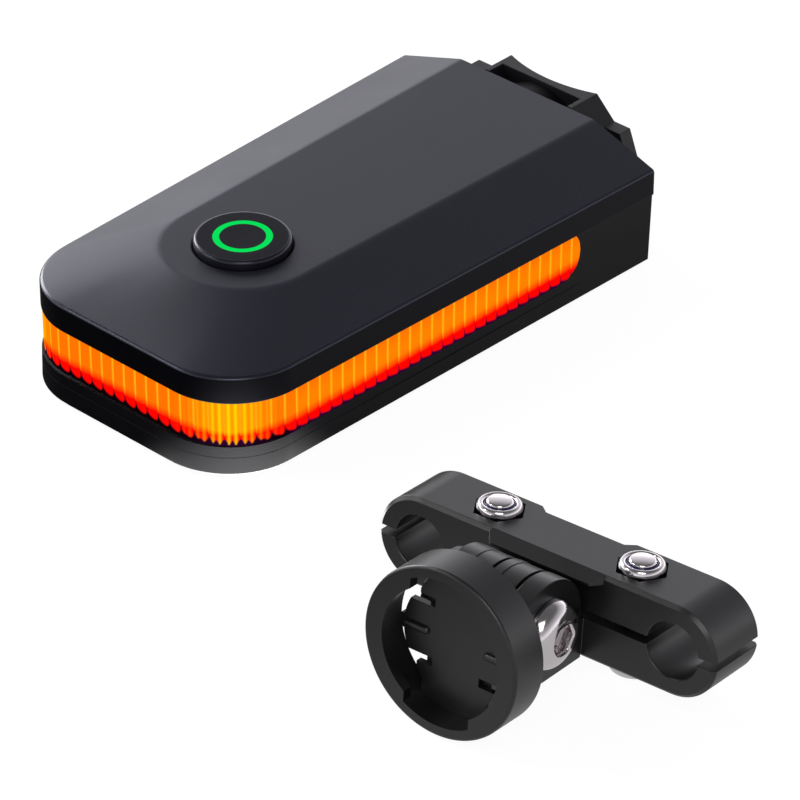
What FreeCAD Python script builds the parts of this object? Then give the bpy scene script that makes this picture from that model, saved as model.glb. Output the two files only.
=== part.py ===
"""Bicycle tail light with its seat-post bracket, and the saddle-rail clamp that goes with it.

The light lies on its underside with its tail towards +Y, +X to its right and +Z up. The origin
is the middle of the underside. The rail clamp stands beside it on the same surface. The clamp's
pieces are drawn in the clamp's own frame: X along the clamp, Y from its front to its back and Z
up, with the origin between the two rail holes, on the front face. One placement then sets them
down. All sizes are in millimetres and come from the sheet.
"""
import FreeCAD, Part
import Sketcher
import math
import os
from types import SimpleNamespace

Vector = FreeCAD.Vector
Rotation = FreeCAD.Rotation
Placement = FreeCAD.Placement

doc = FreeCAD.newDocument("tail_light")
sheet = doc.addObject("Spreadsheet::Sheet", "Sizes")

# Driving dimensions
SIZES = {
    # light: outline and heights
    "case_length": 92.0,
    "front_width": 48.6,
    "tail_width": 54.4,
    "corner_radius": 12.8,
    "edge_height": 17.6,
    "crown_height": 21.8,
    "crown_radius": 12.8,
    "crown_tail_width": 28.8,
    "skirt_foot": 13.55,
    "skirt_overhang": 0.25,
    "side_draft": 1.0,
    "edge_round": 0.45,
    "foot_round": 0.8,
    "cover_wall": 2.6,
    "case_wall": 2.2,
    "roof_thickness": 1.8,
    "floor_thickness": 1.8,
    # light: lens and its lamps
    "lens_foot": 5.5,
    "lens_thickness": 2.0,
    "lens_setback": 0.45,
    "lens_tail_gap": 16.7,
    "lens_end_radius": 4.6,
    "flute_pitch": 2.4,
    "flute_height": 0.16,
    "strip_inset": 6.0,
    "strip_thickness": 0.4,
    "strip_height": 4.6,
    "strip_short": 7.3,
    "led_length": 3.0,
    "led_depth": 1.2,
    "led_height": 2.8,
    "led_pitch": 8.6,
    "led_gap": 0.15,
    "rib_thickness": 1.4,
    # light: seal
    "gasket_inset": 0.95,
    "gasket_width": 0.9,
    "gasket_height": 0.95,
    # light: button
    "button_setback": 26.9,
    "button_radius": 7.6,
    "button_rise": 1.4,
    "button_skin": 1.6,
    "button_round": 0.4,
    "button_gap": 0.25,
    "button_travel": 0.6,
    "flange_radius": 8.9,
    "flange_thickness": 0.8,
    "stem_radius": 2.2,
    "seal_thickness": 0.3,
    "halo_radius": 4.64,
    "halo_width": 1.04,
    "halo_depth": 1.2,
    # light: inside
    "board_height": 11.3,
    "board_thickness": 1.2,
    "board_front": 15.0,
    "board_tail": 7.4,
    "board_inset": 6.6,
    "battery_length": 53.0,
    "battery_width": 32.0,
    "battery_thickness": 6.6,
    "battery_offset": -0.5,
    "battery_round": 1.5,
    "pad_thickness": 0.5,
    "switch_width": 6.0,
    "switch_height": 3.4,
    "plunger_radius": 1.7,
    "plunger_height": 1.2,
    "chip_height": 1.4,
    "chip_width": 5.0,
    "chip_pitch": 10.5,
    "chip_start": 12.0,
    "contact_gap": 0.05,
    # light: charging port
    "port_setback": 10.8,
    "port_width": 8.94,
    "port_height": 3.2,
    "port_depth": 7.35,
    "port_wall": 0.3,
    "port_inset": 2.9,
    "flap_length": 10.0,
    "flap_height": 5.8,
    "flap_thickness": 1.3,
    "flap_gap": 0.15,
    "flap_nub": 0.7,
    "knuckle_radius": 0.75,
    # light: case screws
    "front_screw_margin": 9.3,
    "front_screw_setback": 11.9,
    "tail_screw_margin": 12.7,
    "tail_screw_setback": 4.3,
    "screw_boss_radius": 2.4,
    "screw_radius": 1.0,
    "screw_length": 15.0,
    "screw_head_radius": 1.9,
    "screw_head_height": 1.5,
    "screw_recess": 0.9,
    "screw_gap": 0.05,
    "screw_room": 0.2,
    # quarter-turn plug on the tail wall
    "plug_height": 11.2,
    "neck_radius": 9.87,
    "neck_length": 1.9,
    "tab_radius": 11.27,
    "tab_thickness": 1.5,
    "tab_half": 5.3,
    "plug_screw_x": 6.5,
    "plug_screw_drop": 1.8,
    "plug_screw_depth": 2.6,
    # quarter-turn socket, the same in the bracket and in the rail clamp's ring
    "opening_radius": 9.95,
    "notch_radius": 11.35,
    "notch_half": 5.6,
    "lip_thickness": 1.5,
    "channel_depth": 1.75,
    # seat-post bracket
    "bracket_gap": 0.3,
    "bracket_top_half": 9.3,
    "bracket_half": 13.05,
    "bracket_shoulder": 3.6,
    "slot_half": 8.4,
    "plate_thickness": 3.1,
    "hook_reach": 16.4,
    "hook_bulge": 18.1,
    "hook_slope": 4.4,
    "hook_thickness": 2.6,
    "cradle_radius": 25.7,
    "cradle_sag": 1.7,
    "post_pad_thickness": 0.8,
    "post_pad_half": 8.3,
    "post_pad_margin": 2.4,
    # rail clamp
    "rail_spacing": 44.0,
    "rail_hole_radius": 4.3,
    "rail_wall": 3.05,
    "jaw_height": 14.24,
    "jaw_depth": 11.0,
    "jaw_gap": 1.3,
    "jaw_edge": 0.56,
    "hole_chamfer": 0.2,
    "step_half": 8.9,
    "step_slope": 2.1,
    "step_depth": 1.7,
    "ledge_half": 9.9,
    "ledge_reach": 1.7,
    "ledge_height": 1.35,
    "ledge_drop": 0.95,
    "ledge_slope": 1.2,
    "ledge_round": 0.8,
    "clamp_bolt_spacing": 24.8,
    "clamp_bolt_place": 5.7,
    "clamp_bolt_radius": 2.0,
    "clamp_hole_gap": 0.08,
    "clamp_head_radius": 3.8,
    "clamp_head_height": 2.2,
    "clamp_head_round": 1.4,
    "clamp_hex": 2.5,
    "clamp_hex_depth": 1.3,
    "nut_flats": 6.9,
    "nut_pocket_flats": 7.1,
    "nut_height": 3.1,
    "nut_drop": 0.9,
    "nut_collar_radius": 3.4,
    "nut_collar_height": 2.0,
    "nut_collar_round": 0.95,
    "insert_radius": 2.35,
    "insert_height": 1.1,
    "insert_drop": 0.2,
    "bolt_end": 0.35,
    "bolt_chamfer": 0.38,
    "thread_gap": 0.06,
    # rail clamp: hinge
    "hinge_shift": 0.6,
    "hinge_rise": 0.7,
    "ear_radius": 8.0,
    "ear_front": 0.8,
    "middle_ear_thickness": 1.6,
    "left_ear_thickness": 3.0,
    "right_ear_thickness": 3.15,
    "prong_thickness": 3.0,
    "prong_gap": 0.1,
    "prong_play": 0.6,
    "prong_radius": 7.9,
    "prong_half": 6.3,
    "hinge_bolt_radius": 3.0,
    "hinge_gap": 0.05,
    "hinge_head_radius": 5.25,
    "hinge_head_height": 3.0,
    "hinge_head_rim": 0.4,
    "hinge_head_flat": 2.45,
    "hinge_head_dome": 4.5,
    "hinge_hex": 4.0,
    "hinge_hex_depth": 1.8,
    "hinge_nut_flats": 9.9,
    "hinge_pocket_flats": 10.1,
    "hinge_nut_thickness": 4.0,
    "hinge_pocket_depth": 3.2,
    "hinge_bolt_end": 0.5,
    "nut_boss_radius": 6.7,
    "nut_boss_length": 2.2,
    # rail clamp: socket ring, whose back edge stands off the ears by ring_gap
    "ring_gap": 0.3,
    "ring_radius": 13.05,
    "ring_depth": 6.4,
    "ring_round": 0.5,
    "ring_lip": 1.7,
    "ring_channel": 2.4,
    "detent_thickness": 1.0,
    "detent_half": 6.65,
    "detent_shoulder": 6.2,
    "detent_neck": 8.0,
    "web_half": 5.6,
    "finger_radius": 9.2,
    "finger_half": 4.05,
    "finger_slot": 1.4,
    "finger_slot_end": 4.05,
    "nose_reach": 9.8,
    "nose_half": 1.1,
    "ridge_height": 0.62,
    "ridge_start": 4.7,
    "ridge_length": 4.1,
    # rail clamp: where it stands beside the light
    "clamp_x": 84.01,
    "clamp_y": -44.28,
    "clamp_yaw": 5.22,
    "clamp_roll": 1.2,
}


class Size:
    """A value together with the sheet formula that gives it, so that both are written once."""

    def __init__(self, value, text):
        self.value = float(value)
        self.text = text

    def __add__(self, other):
        other = size(other)
        return Size(self.value + other.value, f"({self.text} + {other.text})")

    def __sub__(self, other):
        other = size(other)
        return Size(self.value - other.value, f"({self.text} - {other.text})")

    def __mul__(self, other):
        other = size(other)
        return Size(self.value * other.value, f"({self.text} * {other.text})")

    def __truediv__(self, other):
        other = size(other)
        return Size(self.value / other.value, f"({self.text} / {other.text})")

    def __neg__(self):
        return Size(-self.value, f"(0 - {self.text})")

    __radd__ = __add__

    def __rsub__(self, other):
        return size(other) - self

    def __rmul__(self, other):
        return size(other) * self


def size(number):
    """A plain number as a Size."""
    return number if isinstance(number, Size) else Size(number, f"({float(number)})")


def root(number):
    return Size(math.sqrt(number.value), f"sqrt({number.text})")


for row, (alias, number) in enumerate(SIZES.items(), start=1):
    sheet.set(f"A{row}", alias)
    sheet.set(f"B{row}", str(number))
    sheet.setAlias(f"B{row}", alias)
doc.recompute()
s = SimpleNamespace(**{alias: Size(number, f"Sizes.{alias}") for alias, number in SIZES.items()})
ZERO = size(0)


# Drawing helpers

def bind(thing, name, number):
    """Ties a property to its formula in the sheet."""
    thing.setExpression(name, size(number).text)


def body(label):
    new = doc.addObject("PartDesign::Body", label)
    new.Label = label
    return new


def sketch(owner, name, plane, lift=ZERO):
    """A sketch on one of the body's origin planes, moved off it by lift along its normal.

    On XY the sketch's own axes are X and Y and the normal is +Z. On XZ they are X and Z with
    the normal towards -Y, and on YZ they are Y and Z with the normal towards +X.
    """
    new = owner.newObject("Sketcher::SketchObject", name)
    support = [feature for feature in owner.Origin.OriginFeatures if feature.Role == plane][0]
    new.AttachmentSupport = [(support, "")]
    new.MapMode = "FlatFace"
    bind(new, "AttachmentOffset.Base.z", lift)
    return new


def hold(drawing, kind, *where):
    """Adds one driving dimension whose value is the last argument, a Size."""
    number = size(where[-1])
    index = drawing.addConstraint(Sketcher.Constraint(kind, *where[:-1], number.value))
    drawing.setExpression(f"Constraints[{index}]", number.text)


def outline(drawing, corners):
    """A closed line through the corners.

    A corner is (x, y), or (x, y, radius) where an arc of that radius leads on to the next
    corner. A positive radius curves to the left of the way round, a negative one to the right.
    """
    first = drawing.GeometryCount
    spots = [Vector(size(c[0]).value, size(c[1]).value, 0) for c in corners]
    for index, corner in enumerate(corners):
        start = spots[index]
        end = spots[(index + 1) % len(corners)]
        if len(corner) == 2:
            drawing.addGeometry(Part.LineSegment(start, end), False)
            continue
        radius = size(corner[2]).value
        half = (end - start) * 0.5
        rise = math.sqrt(max(radius * radius - half.Length ** 2, 0.0))
        left = Vector(-half.y, half.x, 0).normalize()
        side = 1 if radius > 0 else -1
        middle = start + half + left * (rise * side)
        bow = middle - left * (abs(radius) * side)
        drawing.addGeometry(Part.ArcOfCircle(start, bow, end), False)
    count = len(corners)
    ends = []
    for index, corner in enumerate(corners):
        turns_right = len(corner) > 2 and size(corner[2]).value < 0
        ends.append((2, 1) if turns_right else (1, 2))
    for index, corner in enumerate(corners):
        following = (index + 1) % count
        drawing.addConstraint(Sketcher.Constraint(
            "Coincident", first + index, ends[index][1], first + following, ends[following][0]))
        hold(drawing, "DistanceX", first + index, ends[index][0], corner[0])
        hold(drawing, "DistanceY", first + index, ends[index][0], corner[1])
        if len(corner) > 2:
            radius = size(corner[2])
            hold(drawing, "Radius", first + index, radius if radius.value > 0 else -radius)


def circle(drawing, x, y, radius):
    spot = Vector(size(x).value, size(y).value, 0)
    index = drawing.addGeometry(Part.Circle(spot, Vector(0, 0, 1), size(radius).value), False)
    hold(drawing, "DistanceX", index, 3, x)
    hold(drawing, "DistanceY", index, 3, y)
    hold(drawing, "Radius", index, radius)


def rectangle(drawing, low_x, low_y, high_x, high_y):
    outline(drawing, [(low_x, low_y), (high_x, low_y), (high_x, high_y), (low_x, high_y)])


def hexagon(drawing, x, y, flats):
    """A hexagon with two corners along the sketch's first axis, flats apart across its sides."""
    side = flats / math.sqrt(3)
    half = flats / 2
    outline(drawing, [(x + side, y), (x + side / 2, y + half), (x - side / 2, y + half),
                      (x - side, y), (x - side / 2, y - half), (x + side / 2, y - half)])


def pad(owner, drawing, length, back=False):
    """Material from the sketch along its normal, or against it with back."""
    new = owner.newObject("PartDesign::Pad", drawing.Name + "_pad")
    new.Profile = drawing
    bind(new, "Length", length)
    new.Reversed = back
    drawing.Visibility = False
    return new


def pocket(owner, drawing, length, back=False):
    """A cut from the sketch against its normal, or along it with back."""
    new = owner.newObject("PartDesign::Pocket", drawing.Name + "_pocket")
    new.Profile = drawing
    bind(new, "Length", length)
    new.Reversed = back
    drawing.Visibility = False
    return new


def loft(owner, foot, head):
    """Straight-ruled material from the foot sketch to the head sketch."""
    new = owner.newObject("PartDesign::AdditiveLoft", foot.Name + "_loft")
    new.Profile = foot
    new.Sections = [head]
    new.Ruled = True
    return new


def revolve(owner, drawing, axis="V_Axis"):
    """A full turn of the sketch about one of its own axes."""
    new = owner.newObject("PartDesign::Revolution", drawing.Name + "_turn")
    new.Profile = drawing
    new.ReferenceAxis = (drawing, [axis])
    new.Angle = 360
    return new


def edges_where(shape, test):
    """Names of the edges whose middle passes the test."""
    return [f"Edge{index}" for index, edge in enumerate(shape.Edges, start=1)
            if test(edge.valueAt((edge.FirstParameter + edge.LastParameter) / 2))]


def dress(owner, kind, test, number):
    """Rounds or chamfers the edges of the body that pass the test."""
    doc.recompute()
    base = owner.Tip
    new = owner.newObject(f"PartDesign::{kind}", f"{owner.Name}_{kind}")
    new.Base = (base, edges_where(base.Shape, test))
    bind(new, "Radius" if kind == "Fillet" else "Size", number)
    return new


def stand_at(thing, foot, towards):
    """Moves a piece that was drawn upwards from the origin to its foot, and turns it."""
    turn = {"x": Rotation(Vector(1, 1, 1), 120), "y": Rotation(Vector(1, 0, 0), -90),
            "z": Rotation()}[towards]
    thing.Placement = Placement(Vector(), turn)
    for name, spot in zip("xyz", foot):
        bind(thing, f"Placement.Base.{name}", spot)


def block(label, low, high):
    """A box between two corners."""
    new = doc.addObject("Part::Box", label)
    for name, spot, end, side in zip("xyz", low, high, ("Length", "Width", "Height")):
        bind(new, f"Placement.Base.{name}", spot)
        bind(new, side, size(end) - size(spot))
    return new


def rod(label, foot, length, radius, towards="z"):
    """A cylinder from the foot point along +X, +Y or +Z."""
    new = doc.addObject("Part::Cylinder", label)
    stand_at(new, foot, towards)
    bind(new, "Radius", radius)
    bind(new, "Height", length)
    return new


def prism(label, foot, length, flats, towards="z"):
    """A hexagonal prism, flats apart across its sides."""
    new = doc.addObject("Part::Prism", label)
    new.Polygon = 6
    stand_at(new, foot, towards)
    bind(new, "Circumradius", flats / math.sqrt(3))
    bind(new, "Height", length)
    return new


def turned(label, corners, foot, towards="z"):
    """A turned piece: the corners are (radius, height) about an axis that starts at foot."""
    new = body(label)
    drawing = sketch(new, label + "_profile", "XZ_Plane")
    outline(drawing, corners)
    revolve(new, drawing)
    stand_at(new, foot, towards)
    return new


def join(label, pieces):
    new = doc.addObject("Part::MultiFuse", label)
    new.Shapes = pieces
    return new


def cut(label, base, tool):
    new = doc.addObject("Part::Cut", label)
    new.Base = base
    new.Tool = tool
    return new


def shared(label, base, tool):
    new = doc.addObject("Part::Common", label)
    new.Base = base
    new.Tool = tool
    return new


def group(label, pieces):
    """Separate solids under one name."""
    new = doc.addObject("Part::Compound", label)
    new.Links = pieces
    return new


parts = {}


def keep(thing, label):
    """Marks a piece of the product, under the name of its file."""
    thing.Label = label
    parts[label] = thing
    return thing


# Plan outline of the light: straight tapering sides, square tail, two rounded front corners

SPARE = size(1.0)   # how far a cut runs on past the face that it opens
TAIL = s.case_length / 2
FRONT = -TAIL
SLOPE = (s.tail_width - s.front_width) / (s.case_length * 2)
LEAN = root(SLOPE * SLOPE + 1)
CORNER_Y = FRONT + s.corner_radius
BUTTON_Y = FRONT + s.button_setback
LENS_REACH = TAIL - s.lens_tail_gap
STRIP_REACH = LENS_REACH - s.strip_short


def half_width(y, inset=ZERO, draft=ZERO):
    return s.front_width / 2 + SLOPE * (y + TAIL) - inset * LEAN - draft


def plan_corners(inset, draft=ZERO, tail=TAIL):
    """The outline's corners, inset all round but at the tail, and drawn in by draft at the sides."""
    radius = s.corner_radius - inset
    centre = half_width(CORNER_Y, s.corner_radius, draft)
    side_x = centre + radius / LEAN
    side_y = CORNER_Y - radius * SLOPE / LEAN
    front_y = CORNER_Y - radius
    tail_x = half_width(tail, inset, draft)
    return [(tail_x, tail), (-tail_x, tail), (-side_x, side_y, radius), (-centre, front_y),
            (centre, front_y, radius), (side_x, side_y)]


def crown_corners(shrink=ZERO, tail=TAIL):
    """The flat top: a tapering strip from the tail that ends in a round about the button."""
    radius = s.crown_radius - shrink
    far_x = s.crown_tail_width / 2 - shrink
    far_y = tail - BUTTON_Y
    square = far_x * far_x + far_y * far_y
    tangent = root(square - radius * radius)
    side_x = (radius * far_x + tangent * far_y) * radius / square
    side_y = BUTTON_Y + (radius * far_y - tangent * far_x) * radius / square
    nose_x = radius / 2
    nose_y = BUTTON_Y - radius * math.sqrt(3) / 2
    return [(far_x, tail), (-far_x, tail), (-side_x, side_y, radius), (-nose_x, nose_y, radius),
            (nose_x, nose_y, radius), (side_x, side_y)]


def draft_at(height):
    """How far the case's sides have drawn in at a height, from none under the skirt."""
    return s.side_draft * (1 - height / s.skirt_foot)


def band(label, outer, inner, foot, height, tail, inner_tail):
    """An upright wall between two insets of the plan, open at the tail where inner_tail is past tail."""
    new = body(label)
    face = sketch(new, label + "_outer", "XY_Plane", foot)
    outline(face, plan_corners(outer, tail=tail))
    pad(new, face, height)
    hollow = sketch(new, label + "_inner", "XY_Plane", foot + height)
    outline(hollow, plan_corners(inner, tail=inner_tail))
    pocket(new, hollow, height)
    return new


SCREW_PLACES = [(side * x, y)
                for x, y in [
                    (s.front_width / 2 - s.front_screw_margin, FRONT + s.front_screw_setback),
                    (s.tail_width / 2 - s.tail_screw_margin, TAIL - s.tail_screw_setback)]
                for side in (-1, 1)]


def posts(label, foot, length, radius):
    """One upright rod at each case screw."""
    return join(label, [rod(f"{label}_{index}", (x, y, foot), length, radius)
                        for index, (x, y) in enumerate(SCREW_PLACES)])


# Case form, which the case is cut from and the port's flap is flush with

case_form = body("case_form")
case_foot = sketch(case_form, "case_foot", "XY_Plane")
outline(case_foot, plan_corners(s.skirt_overhang + s.foot_round, s.side_draft))
case_knee = sketch(case_form, "case_knee", "XY_Plane", s.foot_round)
outline(case_knee, plan_corners(s.skirt_overhang, draft_at(s.foot_round)))
loft(case_form, case_foot, case_knee)
case_brow = sketch(case_form, "case_brow", "XY_Plane", s.foot_round)
outline(case_brow, plan_corners(s.skirt_overhang, draft_at(s.foot_round)))
case_rim = sketch(case_form, "case_rim", "XY_Plane", s.skirt_foot)
outline(case_rim, plan_corners(s.skirt_overhang))
loft(case_form, case_brow, case_rim)

# Lens window: a band along the front and both sides whose tail ends are round

window_tail = LENS_REACH - s.lens_end_radius
window_half = half_width(TAIL) + SPARE
window_block = block("window_block", (-window_half, FRONT - SPARE, s.lens_foot),
                     (window_half, window_tail, s.skirt_foot + SPARE))
window_end = rod("window_end", (-window_half, window_tail, s.lens_foot + s.lens_end_radius),
                 window_half * 2, s.lens_end_radius, "x")
lens_window = join("lens_window", [window_block, window_end])

# Charging port, in the left side near the tail

PORT_Y = TAIL - s.port_setback
PORT_Z = s.board_height - s.port_height / 2
PORT_WALL = half_width(PORT_Y)
FLAP_FLOOR = -(PORT_WALL - s.skirt_overhang - draft_at(PORT_Z) - s.flap_thickness)
FLAP_TAIL = PORT_Y + s.flap_length / 2
HINGE_X = FLAP_FLOOR - s.knuckle_radius - s.contact_gap
PORT_FACE = -(PORT_WALL - s.port_inset)


def flap_block(label, gap):
    """The flap's place in the wall, wider all round by gap."""
    return block(label,
                 (-(PORT_WALL + SPARE), PORT_Y - s.flap_length / 2 - gap, PORT_Z - s.flap_height / 2 - gap),
                 (FLAP_FLOOR, FLAP_TAIL + gap, PORT_Z + s.flap_height / 2 + gap))


def knuckle(label, gap):
    return rod(label, (HINGE_X, FLAP_TAIL, PORT_Z - s.flap_height / 2 - gap),
               s.flap_height + gap * 2, s.knuckle_radius + gap)


port_slot = block("port_slot",
                  (-PORT_WALL, PORT_Y - s.port_width / 2 - s.port_wall,
                   PORT_Z - s.port_height / 2 - s.port_wall),
                  (PORT_FACE, PORT_Y + s.port_width / 2 + s.port_wall,
                   PORT_Z + s.port_height / 2 + s.port_wall))
flap_room = join("flap_room", [flap_block("flap_recess", s.flap_gap),
                               knuckle("knuckle_recess", s.flap_gap), port_slot])
hinge_groove = block("hinge_groove",
                     (-(PORT_WALL + SPARE), FLAP_TAIL - s.knuckle_radius * 1.6,
                      PORT_Z - s.flap_height),
                     (HINGE_X - s.flap_gap, FLAP_TAIL + SPARE, PORT_Z + s.flap_height))
flap_plate = cut("flap_plate", shared("flap_flush", flap_block("flap_solid", ZERO), case_form),
                 hinge_groove)
flap_nub = block("flap_nub",
                 (FLAP_FLOOR - s.flap_nub, PORT_Y - s.port_width / 2 + s.flap_nub,
                  PORT_Z - s.port_height / 2 + s.port_wall),
                 (FLAP_FLOOR + s.flap_nub, PORT_Y + s.port_width / 2 - s.flap_nub,
                  PORT_Z + s.port_height / 2 - s.port_wall))
port_cover = keep(join("port_cover_solid", [flap_plate, knuckle("flap_knuckle", ZERO), flap_nub]),
                  "port_cover")

socket_outer = block("socket_outer",
                     (PORT_FACE, PORT_Y - s.port_width / 2, PORT_Z - s.port_height / 2),
                     (PORT_FACE + s.port_depth, PORT_Y + s.port_width / 2, PORT_Z + s.port_height / 2))
socket_mouth = block("socket_mouth",
                     (PORT_FACE - SPARE, PORT_Y - s.port_width / 2 + s.port_wall,
                      PORT_Z - s.port_height / 2 + s.port_wall),
                     (PORT_FACE + s.port_depth - SPARE, PORT_Y + s.port_width / 2 - s.port_wall,
                      PORT_Z + s.port_height / 2 - s.port_wall))
socket_tongue = block("socket_tongue",
                      (PORT_FACE + SPARE, PORT_Y - s.port_width / 2 + SPARE,
                       PORT_Z - s.port_wall),
                      (PORT_FACE + s.port_depth, PORT_Y + s.port_width / 2 - SPARE,
                       PORT_Z + s.port_wall))
keep(join("usb_socket_solid", [cut("socket_shell", socket_outer, socket_mouth), socket_tongue]),
     "usb_socket")

# Lower case: walls and floor, a rib that carries the lamp strip and the board, and screw posts

case_hollow = body("case_hollow")
hollow_floor = sketch(case_hollow, "hollow_floor", "XY_Plane", s.floor_thickness)
outline(hollow_floor, plan_corners(s.skirt_overhang + s.case_wall, tail=TAIL - s.case_wall))
pad(case_hollow, hollow_floor, s.skirt_foot - s.floor_thickness + SPARE)
case_walls = cut("case_walls", cut("case_shell", case_form, case_hollow), lens_window)

rib_outer = s.strip_inset + s.strip_thickness
strip_rib = band("strip_rib", rib_outer, rib_outer + s.rib_thickness,
                 s.floor_thickness / 2, s.board_height - s.floor_thickness / 2,
                 STRIP_REACH, STRIP_REACH + SPARE)
case_posts = posts("case_posts", s.floor_thickness / 2, s.skirt_foot - s.floor_thickness / 2,
                   s.screw_boss_radius)
post_limit = block("post_limit", (-window_half, FRONT, ZERO), (window_half, TAIL, s.skirt_foot))
case_inside = join("case_inside", [strip_rib, shared("post_solids", case_posts, post_limit)])
case_solid = join("case_solid", [case_walls, case_inside])

HEAD_TOP = s.screw_recess + s.screw_head_height
screw_wells = posts("screw_wells", -SPARE, HEAD_TOP + SPARE, s.screw_head_radius + s.screw_room)
screw_bores = posts("screw_bores", ZERO, s.screw_length + HEAD_TOP + s.screw_room,
                    s.screw_radius + s.screw_gap)
plug_bores = join("plug_bores", [
    rod(f"plug_bore_{side}", (side * s.plug_screw_x, TAIL - s.case_wall - SPARE,
                              s.plug_height - s.plug_screw_drop),
        s.case_wall + SPARE + s.plug_screw_depth, s.screw_radius + s.screw_gap, "y")
    for side in (-1, 1)])
case_cuts = join("case_cuts", [screw_wells, screw_bores, plug_bores, flap_room])
keep(cut("lower_case_solid", case_solid, case_cuts), "lower_case")

case_screw_solids = []
for index, (x, y) in enumerate(SCREW_PLACES):
    head = rod(f"screw_head_{index}", (x, y, s.screw_recess), s.screw_head_height, s.screw_head_radius)
    shank = rod(f"screw_shank_{index}", (x, y, s.screw_recess), s.screw_head_height + s.screw_length,
                s.screw_radius)
    case_screw_solids.append(join(f"case_screw_{index}", [head, shank]))
keep(group("case_screw_set", case_screw_solids), "case_screws")

# Seal between case and cover

keep(band("gasket_band", s.gasket_inset, s.gasket_inset + s.gasket_width, s.skirt_foot,
          s.gasket_height, TAIL - s.gasket_inset, TAIL - s.gasket_inset - s.gasket_width),
     "case_gasket")

# Top cover: a skirt, a roof that slopes up to the flat crown, and the same form hollowed inside

cover_form = body("cover_form")
skirt_line = sketch(cover_form, "skirt_line", "XY_Plane", s.skirt_foot)
outline(skirt_line, plan_corners(ZERO))
pad(cover_form, skirt_line, s.edge_height - s.skirt_foot)
brow_line = sketch(cover_form, "brow_line", "XY_Plane", s.edge_height)
outline(brow_line, plan_corners(ZERO))
crown_line = sketch(cover_form, "crown_line", "XY_Plane", s.crown_height)
outline(crown_line, crown_corners())
loft(cover_form, brow_line, crown_line)
dress(cover_form, "Fillet",
      lambda point: abs(point.z - s.edge_height.value) < 1e-6, s.edge_round)

cover_hollow = body("cover_hollow")
cover_tail = TAIL - s.cover_wall
ceiling_edge = s.edge_height - s.roof_thickness
hollow_line = sketch(cover_hollow, "hollow_line", "XY_Plane", s.skirt_foot - SPARE)
outline(hollow_line, plan_corners(s.cover_wall, tail=cover_tail))
pad(cover_hollow, hollow_line, ceiling_edge - s.skirt_foot + SPARE)
ceiling_line = sketch(cover_hollow, "ceiling_line", "XY_Plane", ceiling_edge)
outline(ceiling_line, plan_corners(s.cover_wall, tail=cover_tail))
CEILING = s.crown_height - s.roof_thickness
vault_line = sketch(cover_hollow, "vault_line", "XY_Plane", CEILING)
outline(vault_line, crown_corners(s.cover_wall, cover_tail))
loft(cover_hollow, ceiling_line, vault_line)

cover_posts = posts("cover_posts", s.skirt_foot - SPARE, s.crown_height - s.skirt_foot + SPARE,
                    s.screw_boss_radius)
post_foot = block("post_foot", (-window_half, FRONT, ZERO), (window_half, TAIL, s.skirt_foot))
cover_room = cut("cover_room", cover_hollow, cover_posts)
button_hole = rod("button_hole", (ZERO, BUTTON_Y, CEILING - SPARE), s.roof_thickness + SPARE * 2,
                  s.button_radius + s.button_gap)
cover_cuts = join("cover_cuts", [button_hole, posts(
    "cover_bores", s.skirt_foot - SPARE,
    HEAD_TOP + s.screw_length + s.screw_room - s.skirt_foot + SPARE,
    s.screw_radius + s.screw_gap)])
cover_shell = cut("cover_shell", cut("cover_open", cover_form, cover_room), cover_cuts)
keep(cut("top_cover_solid", cover_shell, parts["case_gasket"]), "top_cover")

# Lens: the window's band with upright flutes on its outside, an arc each


def open_plan(inset, tail, height, draft=0.0):
    """The plan's line from the left tail end round the front to the right tail end."""
    corners = [[size(value).value for value in corner]
               for corner in plan_corners(inset, size(draft), tail)]
    centre_x = half_width(CORNER_Y, s.corner_radius, size(draft)).value
    spots = [Vector(corner[0], corner[1], height) for corner in corners]
    right_tail, left_tail, left_side, left_front, right_front, right_side = spots
    edges = [Part.LineSegment(left_tail, left_side)]
    for side, start, end in ((-1, left_side, left_front), (1, right_front, right_side)):
        centre = Vector(side * centre_x, CORNER_Y.value, height)
        bow = centre + ((start + end) * 0.5 - centre).normalize() * corners[2][2]
        edges.append(Part.Arc(start, bow, end))
        if side < 0:
            edges.append(Part.LineSegment(left_front, right_front))
    edges.append(Part.LineSegment(right_side, right_tail))
    return Part.Wire([edge.toShape() for edge in edges])


def outward(start, end):
    """The unit direction that points out of the plan, across a step along its open line."""
    step = end - start
    return Vector(-step.y, step.x, 0).normalize() * -1


def fluted(height, draft):
    """The lens's closed section: an arc for each flute outside and a smooth line inside."""
    line = open_plan(s.lens_setback, LENS_REACH, height, draft)
    spots = line.discretize(Number=flute_count + 1)
    edges = []
    for start, end in zip(spots, spots[1:]):
        bow = (start + end) * 0.5 + outward(start, end) * s.flute_height.value
        edges.append(Part.Arc(start, bow, end).toShape())
    back = open_plan(s.lens_setback + s.lens_thickness, LENS_REACH, height)
    ends = [vertex.Point for vertex in back.OrderedVertexes]
    edges.append(Part.LineSegment(spots[-1], ends[-1]).toShape())
    edges.extend(reversed(back.OrderedEdges))
    edges.append(Part.LineSegment(ends[0], spots[0]).toShape())
    return Part.Wire(edges)


flute_count = round(open_plan(s.lens_setback, LENS_REACH, 0.0).Length / s.flute_pitch.value)
lens_band = doc.addObject("Part::Feature", "lens_band")
lens_band.Shape = Part.makeLoft([fluted(s.lens_foot.value, draft_at(s.lens_foot).value),
                                 fluted(s.skirt_foot.value, 0.0)], True, True)
keep(shared("lens_solid", lens_band, lens_window), "lens")

# Lamps: a flexible strip on the rib's outside, with its lamps facing the lens

STRIP_FOOT = s.board_height - s.strip_height
keep(band("strip_band", s.strip_inset, rib_outer, STRIP_FOOT, s.strip_height,
          STRIP_REACH, STRIP_REACH + SPARE), "led_strip")

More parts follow.
